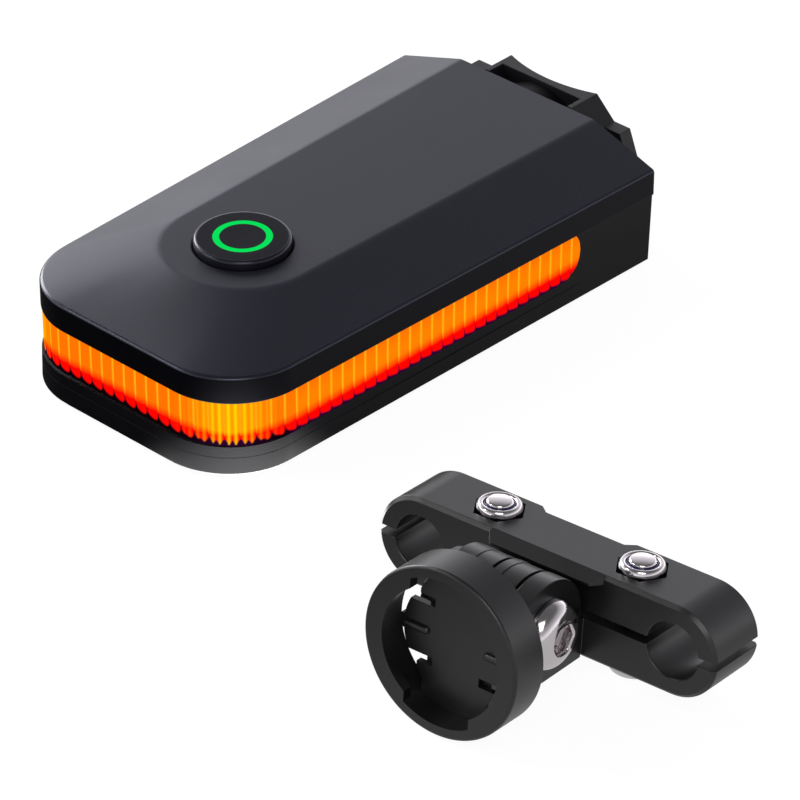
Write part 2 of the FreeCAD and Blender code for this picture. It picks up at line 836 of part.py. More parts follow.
lamp_line = open_plan(s.strip_inset, STRIP_REACH,
                      (STRIP_FOOT + s.strip_height / 2).value)
lamp_count = int(lamp_line.Length // s.led_pitch.value)
LAMP_STEPS = 12
lamp_spots = lamp_line.discretize(Number=lamp_count * LAMP_STEPS + 1)
lamps = []
for index in range(LAMP_STEPS // 2, lamp_count * LAMP_STEPS, LAMP_STEPS):
    out = outward(lamp_spots[index - 1], lamp_spots[index + 1])
    lamp = Part.makeBox(s.led_length.value, s.led_depth.value, s.led_height.value,
                        Vector(-s.led_length.value / 2, s.led_gap.value, -s.led_height.value / 2))
    turn = Rotation(Vector(0, 1, 0), out)
    lamp.Placement = Placement(lamp_spots[index], turn)
    lamps.append(lamp)
led_set = doc.addObject("Part::Feature", "led_set")
led_set.Shape = Part.Compound(lamps)
keep(led_set, "leds")

# Board, its parts and the battery below it

board = body("board")
board_plan = sketch(board, "board_plan", "XY_Plane", s.board_height)
board_front = FRONT + s.board_front
board_tail = TAIL - s.board_tail
board_front_half = half_width(board_front, s.board_inset)
board_tail_half = half_width(board_tail, s.board_inset)
outline(board_plan, [(board_tail_half, board_tail), (-board_tail_half, board_tail),
                     (-board_front_half, board_front), (board_front_half, board_front)])
pad(board, board_plan, s.board_thickness)
keep(board, "main_board")
BOARD_TOP = s.board_height + s.board_thickness

switch_half = s.switch_width / 2
keep(join("switch_solid", [
    block("switch_box", (-switch_half, BUTTON_Y - switch_half, BOARD_TOP),
          (switch_half, BUTTON_Y + switch_half, BOARD_TOP + s.switch_height)),
    rod("switch_plunger", (ZERO, BUTTON_Y, BOARD_TOP), s.switch_height + s.plunger_height,
        s.plunger_radius)]), "tact_switch")

CHIP_HALF = s.chip_width / 2
keep(group("chip_set", [
    block(f"chip_{column}_{row}",
          (column * s.chip_pitch - CHIP_HALF, BUTTON_Y + s.chip_start + row * s.chip_pitch, BOARD_TOP),
          (column * s.chip_pitch + CHIP_HALF,
           BUTTON_Y + s.chip_start + row * s.chip_pitch + s.chip_width, BOARD_TOP + s.chip_height))
    for column in (-1, 0, 1) for row in (0, 1, 2, 3)]), "board_chips")

battery_foot = s.floor_thickness + s.pad_thickness
cell = body("cell")
cell_plan = sketch(cell, "cell_plan", "XY_Plane", battery_foot)
rectangle(cell_plan, -s.battery_width / 2, s.battery_offset - s.battery_length / 2,
          s.battery_width / 2, s.battery_offset + s.battery_length / 2)
pad(cell, cell_plan, s.battery_thickness)
dress(cell, "Fillet", lambda point: abs(abs(point.x) - (s.battery_width / 2).value) < 1e-6,
      s.battery_round)
keep(cell, "battery")
pad_margin = s.battery_round * 2
keep(block("battery_pad_solid",
           (-s.battery_width / 2 + pad_margin, s.battery_offset - s.battery_length / 2 + pad_margin,
            s.floor_thickness),
           (s.battery_width / 2 - pad_margin, s.battery_offset + s.battery_length / 2 - pad_margin,
            battery_foot)), "battery_pad")

# Button: a cap held under the crown by its flange, with a ring of light in its top

CAP_TOP = s.crown_height + s.button_rise
FLANGE_TOP = CEILING - s.seal_thickness - s.contact_gap
FLANGE_FOOT = FLANGE_TOP - s.flange_thickness
STEM_FOOT = BOARD_TOP + s.switch_height + s.plunger_height + s.button_travel + s.contact_gap
cap_inner = s.button_radius - s.flange_thickness * 1.5
halo_inner = s.halo_radius - s.halo_width


button_place = (ZERO, BUTTON_Y, ZERO)
keep(turned("cap", [
    (ZERO, STEM_FOOT), (s.stem_radius, STEM_FOOT), (s.stem_radius, CAP_TOP - s.button_skin),
    (cap_inner, CAP_TOP - s.button_skin), (cap_inner, FLANGE_FOOT),
    (s.flange_radius, FLANGE_FOOT), (s.flange_radius, FLANGE_TOP),
    (s.button_radius, FLANGE_TOP), (s.button_radius, CAP_TOP - s.button_round, s.button_round),
    (s.button_radius - s.button_round, CAP_TOP), (s.halo_radius, CAP_TOP),
    (s.halo_radius, CAP_TOP - s.halo_depth), (halo_inner, CAP_TOP - s.halo_depth),
    (halo_inner, CAP_TOP), (ZERO, CAP_TOP)], button_place), "button_cap")
keep(turned("halo", [
    (halo_inner, CAP_TOP - s.halo_depth), (s.halo_radius, CAP_TOP - s.halo_depth),
    (s.halo_radius, CAP_TOP), (halo_inner, CAP_TOP)], button_place), "button_light_ring")
keep(turned("seal", [
    (s.button_radius, FLANGE_TOP), (s.flange_radius, FLANGE_TOP),
    (s.flange_radius, FLANGE_TOP + s.seal_thickness),
    (s.button_radius, FLANGE_TOP + s.seal_thickness)], button_place), "button_seal")

# Quarter-turn plug on the tail wall, and its two screws from inside


def turn_corners(height, inner, outer, half, upright):
    """A round with two opposite straight-sided tabs that reach further out, upright or level."""
    near = root(inner * inner - half * half)
    far = root(outer * outer - half * half)
    level = [(far, -half, outer), (far, half), (near, half, inner), (-near, half),
             (-far, half, outer), (-far, -half), (-near, -half, inner), (near, -half)]
    if upright:
        level = [(-corner[1], corner[0], *corner[2:]) for corner in level]
    return [(corner[0], corner[1] + height, *corner[2:]) for corner in level]


def turn_socket(owner, front, height, lip, depth):
    """Cuts a socket that lets the plug in upright and holds it once it is turned."""
    opening = sketch(owner, owner.Name + "_opening", "XZ_Plane", -front)
    outline(opening, turn_corners(height, s.opening_radius, s.notch_radius, s.notch_half, True))
    pocket(owner, opening, lip)
    channel = sketch(owner, owner.Name + "_channel", "XZ_Plane", -(front + lip))
    circle(channel, ZERO, height, s.notch_radius)
    pocket(owner, channel, depth)


plug = body("plug")
neck = sketch(plug, "neck", "XZ_Plane", -TAIL)
circle(neck, ZERO, s.plug_height, s.neck_radius)
pad(plug, neck, s.neck_length, back=True)
tabs = sketch(plug, "tabs", "XZ_Plane", -(TAIL + s.neck_length))
outline(tabs, turn_corners(s.plug_height, s.neck_radius, s.tab_radius, s.tab_half, False))
pad(plug, tabs, s.tab_thickness, back=True)
keep(cut("plug_solid", plug, plug_bores), "quarter_turn_plug")

plug_screw_solids = []
for side in (-1, 1):
    place = (side * s.plug_screw_x, TAIL - s.case_wall, s.plug_height - s.plug_screw_drop)
    head_foot = (place[0], place[1] - s.screw_head_height, place[2])
    plug_screw_solids.append(join(f"plug_screw_{side}", [
        rod(f"plug_head_{side}", head_foot, s.screw_head_height, s.screw_head_radius, "y"),
        rod(f"plug_shank_{side}", head_foot,
            s.screw_head_height + s.case_wall + s.plug_screw_depth - s.screw_room,
            s.screw_radius, "y")]))
keep(group("plug_screw_set", plug_screw_solids), "plug_screws")

# Seat-post bracket: a quarter-turn socket in front, strap hooks at the sides, a cradle behind

BRACKET_FRONT = TAIL + s.bracket_gap
LIP_BACK = BRACKET_FRONT + s.lip_thickness
PLATE_FRONT = LIP_BACK + s.channel_depth
BRACKET_BACK = PLATE_FRONT + s.plate_thickness
BRACKET_TOP = s.crown_height
BRACKET_FOOT = s.plug_height * 2 - s.crown_height


def mirrored(right_side):
    """A closed outline from the corners of its right side, listed from the bottom up.

    An arc on the right has its mirror image on the left, and the arc that closes the top has the
    one that closes the bottom.
    """
    before = right_side[-1:] + right_side[:-1]
    left_side = [(-corner[0], corner[1], *lead[2:]) for corner, lead in zip(right_side, before)]
    return right_side + left_side[::-1]


bracket = body("bracket")
bracket_block = sketch(bracket, "bracket_block", "XZ_Plane", -BRACKET_FRONT)
shoulder_low = BRACKET_FOOT + s.bracket_shoulder
shoulder_high = BRACKET_TOP - s.bracket_shoulder
outline(bracket_block, mirrored([
    (s.bracket_top_half, BRACKET_FOOT), (s.bracket_half, shoulder_low),
    (s.bracket_half, shoulder_high), (s.bracket_top_half, BRACKET_TOP)]))
pad(bracket, bracket_block, BRACKET_BACK - BRACKET_FRONT, back=True)
bracket_hooks = sketch(bracket, "bracket_hooks", "XZ_Plane", -(BRACKET_BACK - s.hook_thickness))
outline(bracket_hooks, mirrored([
    (s.hook_reach, shoulder_low), (s.hook_bulge, shoulder_low + s.hook_slope),
    (s.hook_bulge, shoulder_high - s.hook_slope), (s.hook_reach, shoulder_high)]))
pad(bracket, bracket_hooks, s.hook_thickness, back=True)
turn_socket(bracket, s.bracket_gap + TAIL, s.plug_height, s.lip_thickness, s.channel_depth)
bracket_slot = sketch(bracket, "bracket_slot", "XZ_Plane", -BRACKET_FRONT)
rectangle(bracket_slot, -s.slot_half, s.plug_height, s.slot_half, BRACKET_TOP + SPARE)
pocket(bracket, bracket_slot, PLATE_FRONT - BRACKET_FRONT)
cradle_y = BRACKET_BACK - s.cradle_sag + s.cradle_radius
cradle = sketch(bracket, "cradle", "XY_Plane", BRACKET_TOP + SPARE)
circle(cradle, ZERO, cradle_y, s.cradle_radius)
pocket(bracket, cradle, BRACKET_TOP - BRACKET_FOOT + SPARE * 2)
keep(bracket, "seatpost_bracket")

post_pad = body("post_pad")
pad_face = sketch(post_pad, "pad_face", "XY_Plane", BRACKET_FOOT + s.post_pad_margin)
pad_radius = s.cradle_radius - s.post_pad_thickness
pad_back_y = cradle_y - root(s.cradle_radius * s.cradle_radius - s.post_pad_half * s.post_pad_half)
pad_face_y = cradle_y - root(pad_radius * pad_radius - s.post_pad_half * s.post_pad_half)
outline(pad_face, [(-s.post_pad_half, pad_back_y, s.cradle_radius), (s.post_pad_half, pad_back_y),
                   (s.post_pad_half, pad_face_y, -pad_radius), (-s.post_pad_half, pad_face_y)])
pad(post_pad, pad_face, BRACKET_TOP - BRACKET_FOOT - s.post_pad_margin * 2)
keep(post_pad, "bracket_pad")

# Rail clamp: where it stands. It leans a little to its left, so it rests on its ring's lower back
# edge and on the left bolt head, and leans back by the angle between those two heights.

JAW_HALF = s.jaw_height / 2
SPLIT = s.jaw_gap / 2
RING_BACK = s.ear_radius * 2 + s.ear_front + s.ring_gap
RING_REACH = RING_BACK + s.ring_depth
ring_low = s.ring_radius - s.hinge_rise
head_low = JAW_HALF + s.clamp_head_height
foot_span = s.clamp_bolt_place + s.clamp_head_radius - s.clamp_head_round + RING_BACK
BOLT_X = s.clamp_bolt_spacing / 2
roll_rise = math.sin(math.radians(s.clamp_roll.value))
clamp_tilt = math.atan2((ring_low - head_low).value - BOLT_X.value * roll_rise, foot_span.value)
clamp_lift = (ring_low.value * math.cos(clamp_tilt) - RING_BACK.value * math.sin(clamp_tilt)
              + s.hinge_shift.value * roll_rise)
CLAMP_PLACE = Placement(
    Vector(s.clamp_x.value, s.clamp_y.value, clamp_lift),
    Rotation(Vector(0, 0, 1), s.clamp_yaw.value)
    * Rotation(Vector(1, 0, 0), -math.degrees(clamp_tilt))
    * Rotation(Vector(0, 1, 0), -s.clamp_roll.value))
HINGE_PLACE = CLAMP_PLACE * Placement(Vector(-s.hinge_shift.value, 0, 0), Rotation())


def stand(thing, label, place=CLAMP_PLACE):
    """Sets a finished piece of the clamp down in its place."""
    thing.Placement = place
    return keep(thing, label)


# Jaws: the lower one is the upper one's mirror image, but for the ears and the ledge

RAIL_X = s.rail_spacing / 2
JAW_END = RAIL_X + s.rail_hole_radius + s.rail_wall - JAW_HALF
JAW_TIP = JAW_END + root(JAW_HALF * JAW_HALF - SPLIT * SPLIT)
BOLT_HOLE = s.clamp_bolt_radius + s.clamp_hole_gap


def jaw(label, side):
    """Half of the clamp's block: side is 1 above the split and -1 below it."""
    new = body(label)
    face = sketch(new, label + "_face", "XZ_Plane")
    outline(face, [(side * JAW_TIP, side * SPLIT, JAW_HALF), (side * JAW_END, side * JAW_HALF),
                   (-side * JAW_END, side * JAW_HALF, JAW_HALF), (-side * JAW_TIP, side * SPLIT)])
    pad(new, face, s.jaw_depth, back=True)

    def on_face(point):
        return min(abs(point.y), abs(point.y - s.jaw_depth.value)) < 1e-6

    def from_hole(point):
        return math.hypot(abs(point.x) - RAIL_X.value, point.z)

    dress(new, "Chamfer", lambda point: on_face(point) and side * point.z > SPLIT.value + 1e-6,
          s.jaw_edge)
    rails = sketch(new, label + "_rails", "XZ_Plane")
    for end in (-1, 1):
        circle(rails, end * RAIL_X, ZERO, s.rail_hole_radius)
    pocket(new, rails, s.jaw_depth)
    dress(new, "Chamfer", lambda point: on_face(point) and
          abs(from_hole(point) - s.rail_hole_radius.value) < 1e-4, s.hole_chamfer)
    top = JAW_HALF + SPARE if side > 0 else ZERO
    holes = sketch(new, label + "_holes", "XY_Plane", top)
    for end in (-1, 1):
        circle(holes, end * BOLT_X, s.clamp_bolt_place, BOLT_HOLE)
    pocket(new, holes, JAW_HALF + SPARE)
    step = sketch(new, label + "_step", "XY_Plane", top)
    near = s.step_half - s.step_slope
    outline(step, [(-near, s.jaw_depth - s.step_depth), (near, s.jaw_depth - s.step_depth),
                   (s.step_half, s.jaw_depth), (s.step_half, s.jaw_depth + SPARE),
                   (-s.step_half, s.jaw_depth + SPARE), (-s.step_half, s.jaw_depth)])
    pocket(new, step, JAW_HALF + SPARE)
    return new


upper = jaw("upper", 1)
pockets = sketch(upper, "nut_pockets", "XY_Plane", JAW_HALF)
for end in (-1, 1):
    hexagon(pockets, end * BOLT_X, s.clamp_bolt_place, s.nut_pocket_flats)
pocket(upper, pockets, s.nut_drop + s.nut_height)
ledge = sketch(upper, "ledge", "XY_Plane", JAW_HALF)
LEDGE_TIP = s.ledge_half - s.ledge_slope
outline(ledge, [(-s.ledge_half, SPARE), (-s.ledge_half, ZERO), (-LEDGE_TIP, -s.ledge_reach),
                (LEDGE_TIP, -s.ledge_reach), (s.ledge_half, ZERO), (s.ledge_half, SPARE)])
pad(upper, ledge, s.ledge_height, back=True)
dress(upper, "Fillet", lambda point: abs(point.y + s.ledge_reach.value) < 1e-6 and
      abs(abs(point.x) - LEDGE_TIP.value) < 1e-6, s.ledge_round)
slope_run = (s.jaw_edge + s.ledge_reach) / s.ledge_drop
ledge_slant = sketch(upper, "ledge_slant", "YZ_Plane", s.ledge_half)
outline(ledge_slant, [(s.jaw_edge, JAW_HALF),
                      (s.jaw_edge - slope_run * JAW_HALF / 2, JAW_HALF / 2),
                      (s.jaw_edge - slope_run * JAW_HALF / 2, JAW_HALF + SPARE),
                      (s.jaw_edge, JAW_HALF + SPARE)])
pocket(upper, ledge_slant, s.ledge_half * 2)
stand(upper, "upper_jaw")

# Hinge: three ears on the lower jaw take the socket arm's two prongs between them

HINGE_Y = -(s.ear_radius + s.ear_front)
HINGE = (HINGE_Y, s.hinge_rise)
EAR_HALF = s.middle_ear_thickness / 2
EAR_IN = EAR_HALF + s.prong_gap + s.prong_thickness + s.prong_play
LEFT_OUT = EAR_IN + s.left_ear_thickness
RIGHT_OUT = EAR_IN + s.right_ear_thickness
BOSS_OUT = LEFT_OUT + s.nut_boss_length

ear_drop = JAW_HALF + s.hinge_rise
ear_square = HINGE_Y * HINGE_Y + ear_drop * ear_drop
ear_tangent = root(ear_square - s.ear_radius * s.ear_radius)
tangent_y = (-s.ear_radius * HINGE_Y - ear_tangent * ear_drop) * s.ear_radius / ear_square
tangent_z = (s.ear_radius * ear_drop - ear_tangent * HINGE_Y) * s.ear_radius / ear_square
ear_corners = [
    (ZERO, -JAW_HALF), (ZERO, -SPLIT), (-s.ear_front, -SPLIT),
    (-s.ear_front, s.hinge_rise, s.ear_radius),
    (HINGE_Y, s.hinge_rise + s.ear_radius, s.ear_radius),
    (HINGE_Y - s.ear_radius, s.hinge_rise, s.ear_radius),
    (HINGE_Y + tangent_y, s.hinge_rise - tangent_z)]

lower = jaw("lower", -1)
for name, low, high in (("left_ear", -LEFT_OUT, -EAR_IN), ("middle_ear", -EAR_HALF, EAR_HALF),
                        ("right_ear", EAR_IN, RIGHT_OUT)):
    ear = sketch(lower, name, "YZ_Plane", low - s.hinge_shift)
    outline(ear, ear_corners)
    pad(lower, ear, high - low)
boss = sketch(lower, "nut_boss", "YZ_Plane", -BOSS_OUT - s.hinge_shift)
circle(boss, *HINGE, s.nut_boss_radius)
pad(lower, boss, s.nut_boss_length)
hinge_hole = sketch(lower, "hinge_hole", "YZ_Plane", RIGHT_OUT - s.hinge_shift)
circle(hinge_hole, *HINGE, s.hinge_bolt_radius + s.hinge_gap)
pocket(lower, hinge_hole, RIGHT_OUT + BOSS_OUT)
nut_room = sketch(lower, "nut_room", "YZ_Plane", -BOSS_OUT - s.hinge_shift)
hexagon(nut_room, *HINGE, s.hinge_pocket_flats)
pocket(lower, nut_room, s.hinge_pocket_depth, back=True)
stand(lower, "lower_jaw")

# Clamp bolts, pointing up, with domed nuts that hold a nylon ring each

HEAD_FOOT = -(JAW_HALF + s.clamp_head_height)
NUT_TOP = JAW_HALF - s.nut_drop
NUT_FOOT = NUT_TOP - s.nut_height
COLLAR_TOP = NUT_TOP + s.nut_collar_height
BOLT_TOP = COLLAR_TOP + s.bolt_end
NUT_BORE = s.clamp_bolt_radius + s.thread_gap
INSERT_TOP = COLLAR_TOP - s.insert_drop
INSERT_FOOT = INSERT_TOP - s.insert_height
INSERT_OUT = s.insert_radius - s.thread_gap
bolts = []
nuts = []
inserts = []
for end in (-1, 1):
    spot = (end * BOLT_X, s.clamp_bolt_place, ZERO)
    shape = turned(f"clamp_bolt_{end}", [
        (ZERO, HEAD_FOOT), (s.clamp_head_radius - s.clamp_head_round, HEAD_FOOT, s.clamp_head_round),
        (s.clamp_head_radius, HEAD_FOOT + s.clamp_head_round), (s.clamp_head_radius, -JAW_HALF),
        (s.clamp_bolt_radius, -JAW_HALF), (s.clamp_bolt_radius, BOLT_TOP - s.bolt_chamfer),
        (s.clamp_bolt_radius - s.bolt_chamfer, BOLT_TOP), (ZERO, BOLT_TOP)], spot)
    recess = prism(f"clamp_hex_{end}", (spot[0], spot[1], HEAD_FOOT - SPARE),
                   s.clamp_hex_depth + SPARE, s.clamp_hex)
    bolts.append(cut(f"clamp_bolt_solid_{end}", shape, recess))
    flats = prism(f"nut_flats_{end}", (spot[0], spot[1], NUT_FOOT), s.nut_height, s.nut_flats)
    bore = rod(f"nut_bore_{end}", (spot[0], spot[1], ZERO), JAW_HALF + SPARE, NUT_BORE)
    collar = turned(f"nut_collar_{end}", [
        (NUT_BORE, NUT_TOP - s.thread_gap), (s.nut_collar_radius, NUT_TOP - s.thread_gap),
        (s.nut_collar_radius, COLLAR_TOP - s.nut_collar_round, s.nut_collar_round),
        (s.nut_collar_radius - s.nut_collar_round, COLLAR_TOP), (s.insert_radius, COLLAR_TOP),
        (s.insert_radius, INSERT_FOOT), (NUT_BORE, INSERT_FOOT)], spot)
    nuts.append(join(f"nut_{end}", [cut(f"nut_body_{end}", flats, bore), collar]))
    inserts.append(turned(f"nut_insert_{end}", [
        (NUT_BORE, INSERT_FOOT), (INSERT_OUT, INSERT_FOOT), (INSERT_OUT, INSERT_TOP),
        (NUT_BORE, INSERT_TOP)], spot))
stand(group("clamp_bolt_set", bolts), "clamp_bolts")
stand(group("nut_set", nuts), "clamp_nuts")
stand(group("insert_set", inserts), "nut_inserts")

# Hinge bolt, its head on the right ear, and the nut in the left one

NUT_FACE = BOSS_OUT - s.hinge_pocket_depth
BOLT_END = NUT_FACE + s.hinge_nut_thickness + s.hinge_bolt_end
HEAD_END = BOLT_END + RIGHT_OUT + s.hinge_head_height
hinge_foot = (-BOLT_END, *HINGE)
hinge_shape = turned("hinge_bolt_shape", [
    (ZERO, ZERO), (s.hinge_bolt_radius, ZERO), (s.hinge_bolt_radius, BOLT_END + RIGHT_OUT),
    (s.hinge_head_radius, BOLT_END + RIGHT_OUT),
    (s.hinge_head_radius, BOLT_END + RIGHT_OUT + s.hinge_head_rim, s.hinge_head_dome),
    (s.hinge_head_flat, HEAD_END), (ZERO, HEAD_END)], hinge_foot, "x")
hinge_recess = prism("hinge_recess", (RIGHT_OUT + s.hinge_head_height - s.hinge_hex_depth, *HINGE),
                     s.hinge_hex_depth + SPARE, s.hinge_hex, "x")
stand(cut("hinge_bolt_solid", hinge_shape, hinge_recess), "hinge_bolt", HINGE_PLACE)
hinge_flats = prism("hinge_flats", (-(NUT_FACE + s.hinge_nut_thickness), *HINGE),
                    s.hinge_nut_thickness, s.hinge_nut_flats, "x")
hinge_bore = rod("hinge_bore", (-(BOLT_END + SPARE), *HINGE), BOLT_END + SPARE, s.hinge_bolt_radius, "x")
stand(cut("hinge_nut_solid", hinge_flats, hinge_bore), "hinge_nut", HINGE_PLACE)

# Socket arm: a ring with a quarter-turn socket, a web across its back and two prongs

PLATE_FACE = RING_REACH - s.ring_lip - s.ring_channel
WEB_FACE = PLATE_FACE - s.detent_thickness
arm = body("arm")
ring = sketch(arm, "ring", "XZ_Plane", RING_REACH)
circle(ring, ZERO, s.hinge_rise, s.ring_radius)
pad(arm, ring, s.ring_depth, back=True)
dress(arm, "Fillet", lambda point: abs(point.y + RING_REACH.value) < 1e-6, s.ring_round)
turn_socket(arm, -RING_REACH, s.hinge_rise, s.ring_lip, s.ring_channel + s.detent_thickness)
gaps = sketch(arm, "gaps", "XZ_Plane", WEB_FACE)
gap_high = root(s.notch_radius * s.notch_radius - s.web_half * s.web_half)
for end in (-1, 1):
    outline(gaps, [(end * s.web_half, s.hinge_rise - end * gap_high, s.notch_radius),
                   (end * s.web_half, s.hinge_rise + end * gap_high)])
pocket(arm, gaps, WEB_FACE - RING_BACK)
prong_flat = root(s.prong_radius * s.prong_radius - s.prong_half * s.prong_half) - HINGE_Y
prong_corners = [
    (-WEB_FACE, s.hinge_rise - s.prong_half),
    (-prong_flat, s.hinge_rise - s.prong_half, s.prong_radius),
    (HINGE_Y + s.prong_radius, s.hinge_rise, s.prong_radius),
    (-prong_flat, s.hinge_rise + s.prong_half), (-WEB_FACE, s.hinge_rise + s.prong_half)]
for name, low in (("left_prong", s.prong_gap - EAR_IN), ("right_prong", EAR_HALF + s.prong_gap)):
    prong = sketch(arm, name, "YZ_Plane", low)
    outline(prong, prong_corners)
    pad(arm, prong, s.prong_thickness)
arm_hole = sketch(arm, "arm_hole", "YZ_Plane", EAR_IN)
circle(arm_hole, *HINGE, s.hinge_bolt_radius + s.hinge_gap)
pocket(arm, arm_hole, EAR_IN * 2)
stand(arm, "socket_arm", HINGE_PLACE)

# Detent plate: it spans the ring from notch to notch, with a broad finger on each side between
# two slots. The finger's nose clicks past the plug's tabs, and a rounded ridge runs along it.

DETENT_RADIUS = s.notch_radius
plate_high = root(DETENT_RADIUS * DETENT_RADIUS - s.web_half * s.web_half)
slot_high = s.finger_half + s.finger_slot
finger_x = root(s.finger_radius * s.finger_radius - s.finger_half * s.finger_half)
nose_x = root(s.finger_radius * s.finger_radius - s.nose_half * s.nose_half)
detent_corners = mirrored([
    (s.web_half, -plate_high), (s.web_half, -s.detent_neck), (s.detent_half, -s.detent_shoulder),
    (s.detent_half, -slot_high), (s.finger_slot_end, -slot_high),
    (s.finger_slot_end, -s.finger_half), (finger_x, -s.finger_half, s.finger_radius),
    (nose_x, -s.nose_half), (s.nose_reach, -s.nose_half), (s.nose_reach, s.nose_half),
    (nose_x, s.nose_half, s.finger_radius), (finger_x, s.finger_half),
    (s.finger_slot_end, s.finger_half), (s.finger_slot_end, slot_high),
    (s.detent_half, slot_high), (s.detent_half, s.detent_shoulder),
    (s.web_half, s.detent_neck), (s.web_half, plate_high, DETENT_RADIUS)])
detent = body("detent")
detent_face = sketch(detent, "detent_face", "XZ_Plane", PLATE_FACE)
outline(detent_face, [(corner[0], corner[1] + s.hinge_rise, *corner[2:])
                      for corner in detent_corners])
pad(detent, detent_face, s.detent_thickness, back=True)
ridge_end = s.ridge_length - s.ridge_height
ridges = [
    turned("left_ridge", [
        (ZERO, ZERO), (s.ridge_height, ZERO), (s.ridge_height, ridge_end, s.ridge_height),
        (ZERO, s.ridge_length)],
        (-(s.ridge_start + s.ridge_length), -PLATE_FACE, s.hinge_rise), "x"),
    turned("right_ridge", [
        (ZERO, ZERO, s.ridge_height), (s.ridge_height, s.ridge_height),
        (s.ridge_height, s.ridge_length), (ZERO, s.ridge_length)],
        (s.ridge_start, -PLATE_FACE, s.hinge_rise), "x")]
stand(join("detent_solid", [detent, *ridges]), "detent_plate", HINGE_PLACE)

# Every piece is checked, and then written to a file of its own

doc.recompute()
for thing in doc.Objects:
    if "Invalid" in thing.State or "Error" in thing.State:
        raise RuntimeError(f"{thing.Label} could not be computed: {thing.State}")
for label, thing in parts.items():
    if thing.Shape.isNull() or not thing.Shape.isValid():
        raise RuntimeError(f"{label} has no valid shape")
    if not thing.Shape.Solids or min(solid.Volume for solid in thing.Shape.Solids) <= 0:
        raise RuntimeError(f"{label} has no solid")
os.makedirs("parts", exist_ok=True)
for label, thing in parts.items():
    thing.Shape.exportStep(f"parts/{label}.step")
    box = thing.Shape.BoundBox
    print(f"{label:20s} {len(thing.Shape.Solids):3d} solids {thing.Shape.Volume:9.1f} mm3 "
          f"x {box.XMin:7.2f} {box.XMax:7.2f} y {box.YMin:7.2f} {box.YMax:7.2f} "
          f"z {box.ZMin:6.2f} {box.ZMax:6.2f}")
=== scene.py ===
# %% [markdown]
# # A bicycle tail light and its two mounts
#
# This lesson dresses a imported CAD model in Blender. The light is a flat box of dark plastic with a
# glowing fluted lens round three of its sides, a button with a ring of light on top, and a
# seat-post bracket at its tail. Beside it lies a clamp for the two rails of a saddle.
#
# The CAD model is loaded as a fixed frame. Every piece made here takes the place of CAD nodes, and
# moves with the same body as they do.

# %% Load the frame
import math
import bmesh
import bpy
import numpy as np
from mathutils import Matrix, Vector


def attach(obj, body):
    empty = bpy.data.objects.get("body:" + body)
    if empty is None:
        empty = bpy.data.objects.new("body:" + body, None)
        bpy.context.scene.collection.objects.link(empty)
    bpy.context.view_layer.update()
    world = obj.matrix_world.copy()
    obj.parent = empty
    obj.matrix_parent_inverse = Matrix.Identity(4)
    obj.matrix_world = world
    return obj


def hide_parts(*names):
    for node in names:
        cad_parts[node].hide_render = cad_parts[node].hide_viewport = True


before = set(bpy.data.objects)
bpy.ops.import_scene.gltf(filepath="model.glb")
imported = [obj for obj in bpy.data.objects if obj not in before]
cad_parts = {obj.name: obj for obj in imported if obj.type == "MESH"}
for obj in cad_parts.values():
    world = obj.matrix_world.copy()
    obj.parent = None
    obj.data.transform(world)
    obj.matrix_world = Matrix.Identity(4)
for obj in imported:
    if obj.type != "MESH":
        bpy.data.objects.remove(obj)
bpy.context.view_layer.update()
MM = 0.001

# %% [markdown]
# ## The camera
#
# The photograph was taken with a long lens from the right of the light's front, looking down at
# about a third of a right angle. The camera's three directions are worked out from its azimuth and
# elevation, and the picture's middle is the lens's middle, so no shift is needed.

# %% Camera
AZIMUTH = math.radians(43.1)
ELEVATION = math.radians(33.63)
FOCAL_LENGTH = 209.8
SENSOR_WIDTH = 36
CAMERA_PLACE = (431.84, -445.42, 396.48)


def camera_directions(azimuth, elevation):
    """Right, up and back of a camera that circles the object, as three unit vectors."""
    right = Vector((math.cos(azimuth), math.sin(azimuth), 0))
    back = Vector((math.sin(azimuth) * math.cos(elevation),
                   -math.cos(azimuth) * math.cos(elevation), math.sin(elevation)))
    return right, back.cross(right), back


def add_camera():
    """The long-lens camera, turned by its three directions."""
    data = bpy.data.cameras.new("photo_camera")
    data.sensor_width = SENSOR_WIDTH
    data.lens = FOCAL_LENGTH
    data.clip_start = 0.01
    data.clip_end = 20
    camera = bpy.data.objects.new("photo_camera", data)
    bpy.context.collection.objects.link(camera)
    turn = Matrix(camera_directions(AZIMUTH, ELEVATION)).transposed()
    place = Matrix.Translation(Vector(CAMERA_PLACE) * MM)
    camera.matrix_world = place @ turn.to_4x4()
    bpy.context.scene.camera = camera
    return camera


camera = add_camera()
print("camera at", [round(c, 3) for c in camera.matrix_world.translation])

# %% [markdown]
# ## Colours and finishes
#
# A picture's colours are written as they look on a screen, and Blender works in linear light, so
# each one is converted. A moulded finish is a Principled BSDF with a little noise: on its colour
# and roughness for wear and handling, and on its bump for the spark-eroded grain of the mould.

# %% A colour as it looks on a screen
def screen(red, green, blue):
    """Linear light of a screen colour of 0 to 255, by the sRGB curve."""
    values = np.array([red, green, blue]) / 255
    linear = np.where(values <= 0.04045, values / 12.92, ((values + 0.055) / 1.055) ** 2.4)
    return (*linear.tolist(), 1.0)


# %% A material to start from
def new_material(name):
    """A new node material, its node tree and its Principled BSDF."""
    material = bpy.data.materials.new(name)
    material.use_nodes = True
    tree = material.node_tree
    return material, tree, tree.nodes["Principled BSDF"]


def object_noise(tree, scale, detail):
    """A noise of 0 to 1 in Object coordinates."""
    noise = tree.nodes.new("ShaderNodeTexNoise")
    noise.inputs["Scale"].default_value = scale
    noise.inputs["Detail"].default_value = detail
    place = tree.nodes.new("ShaderNodeTexCoord")
    tree.links.new(place.outputs["Object"], noise.inputs["Vector"])
    return noise.outputs["Fac"]


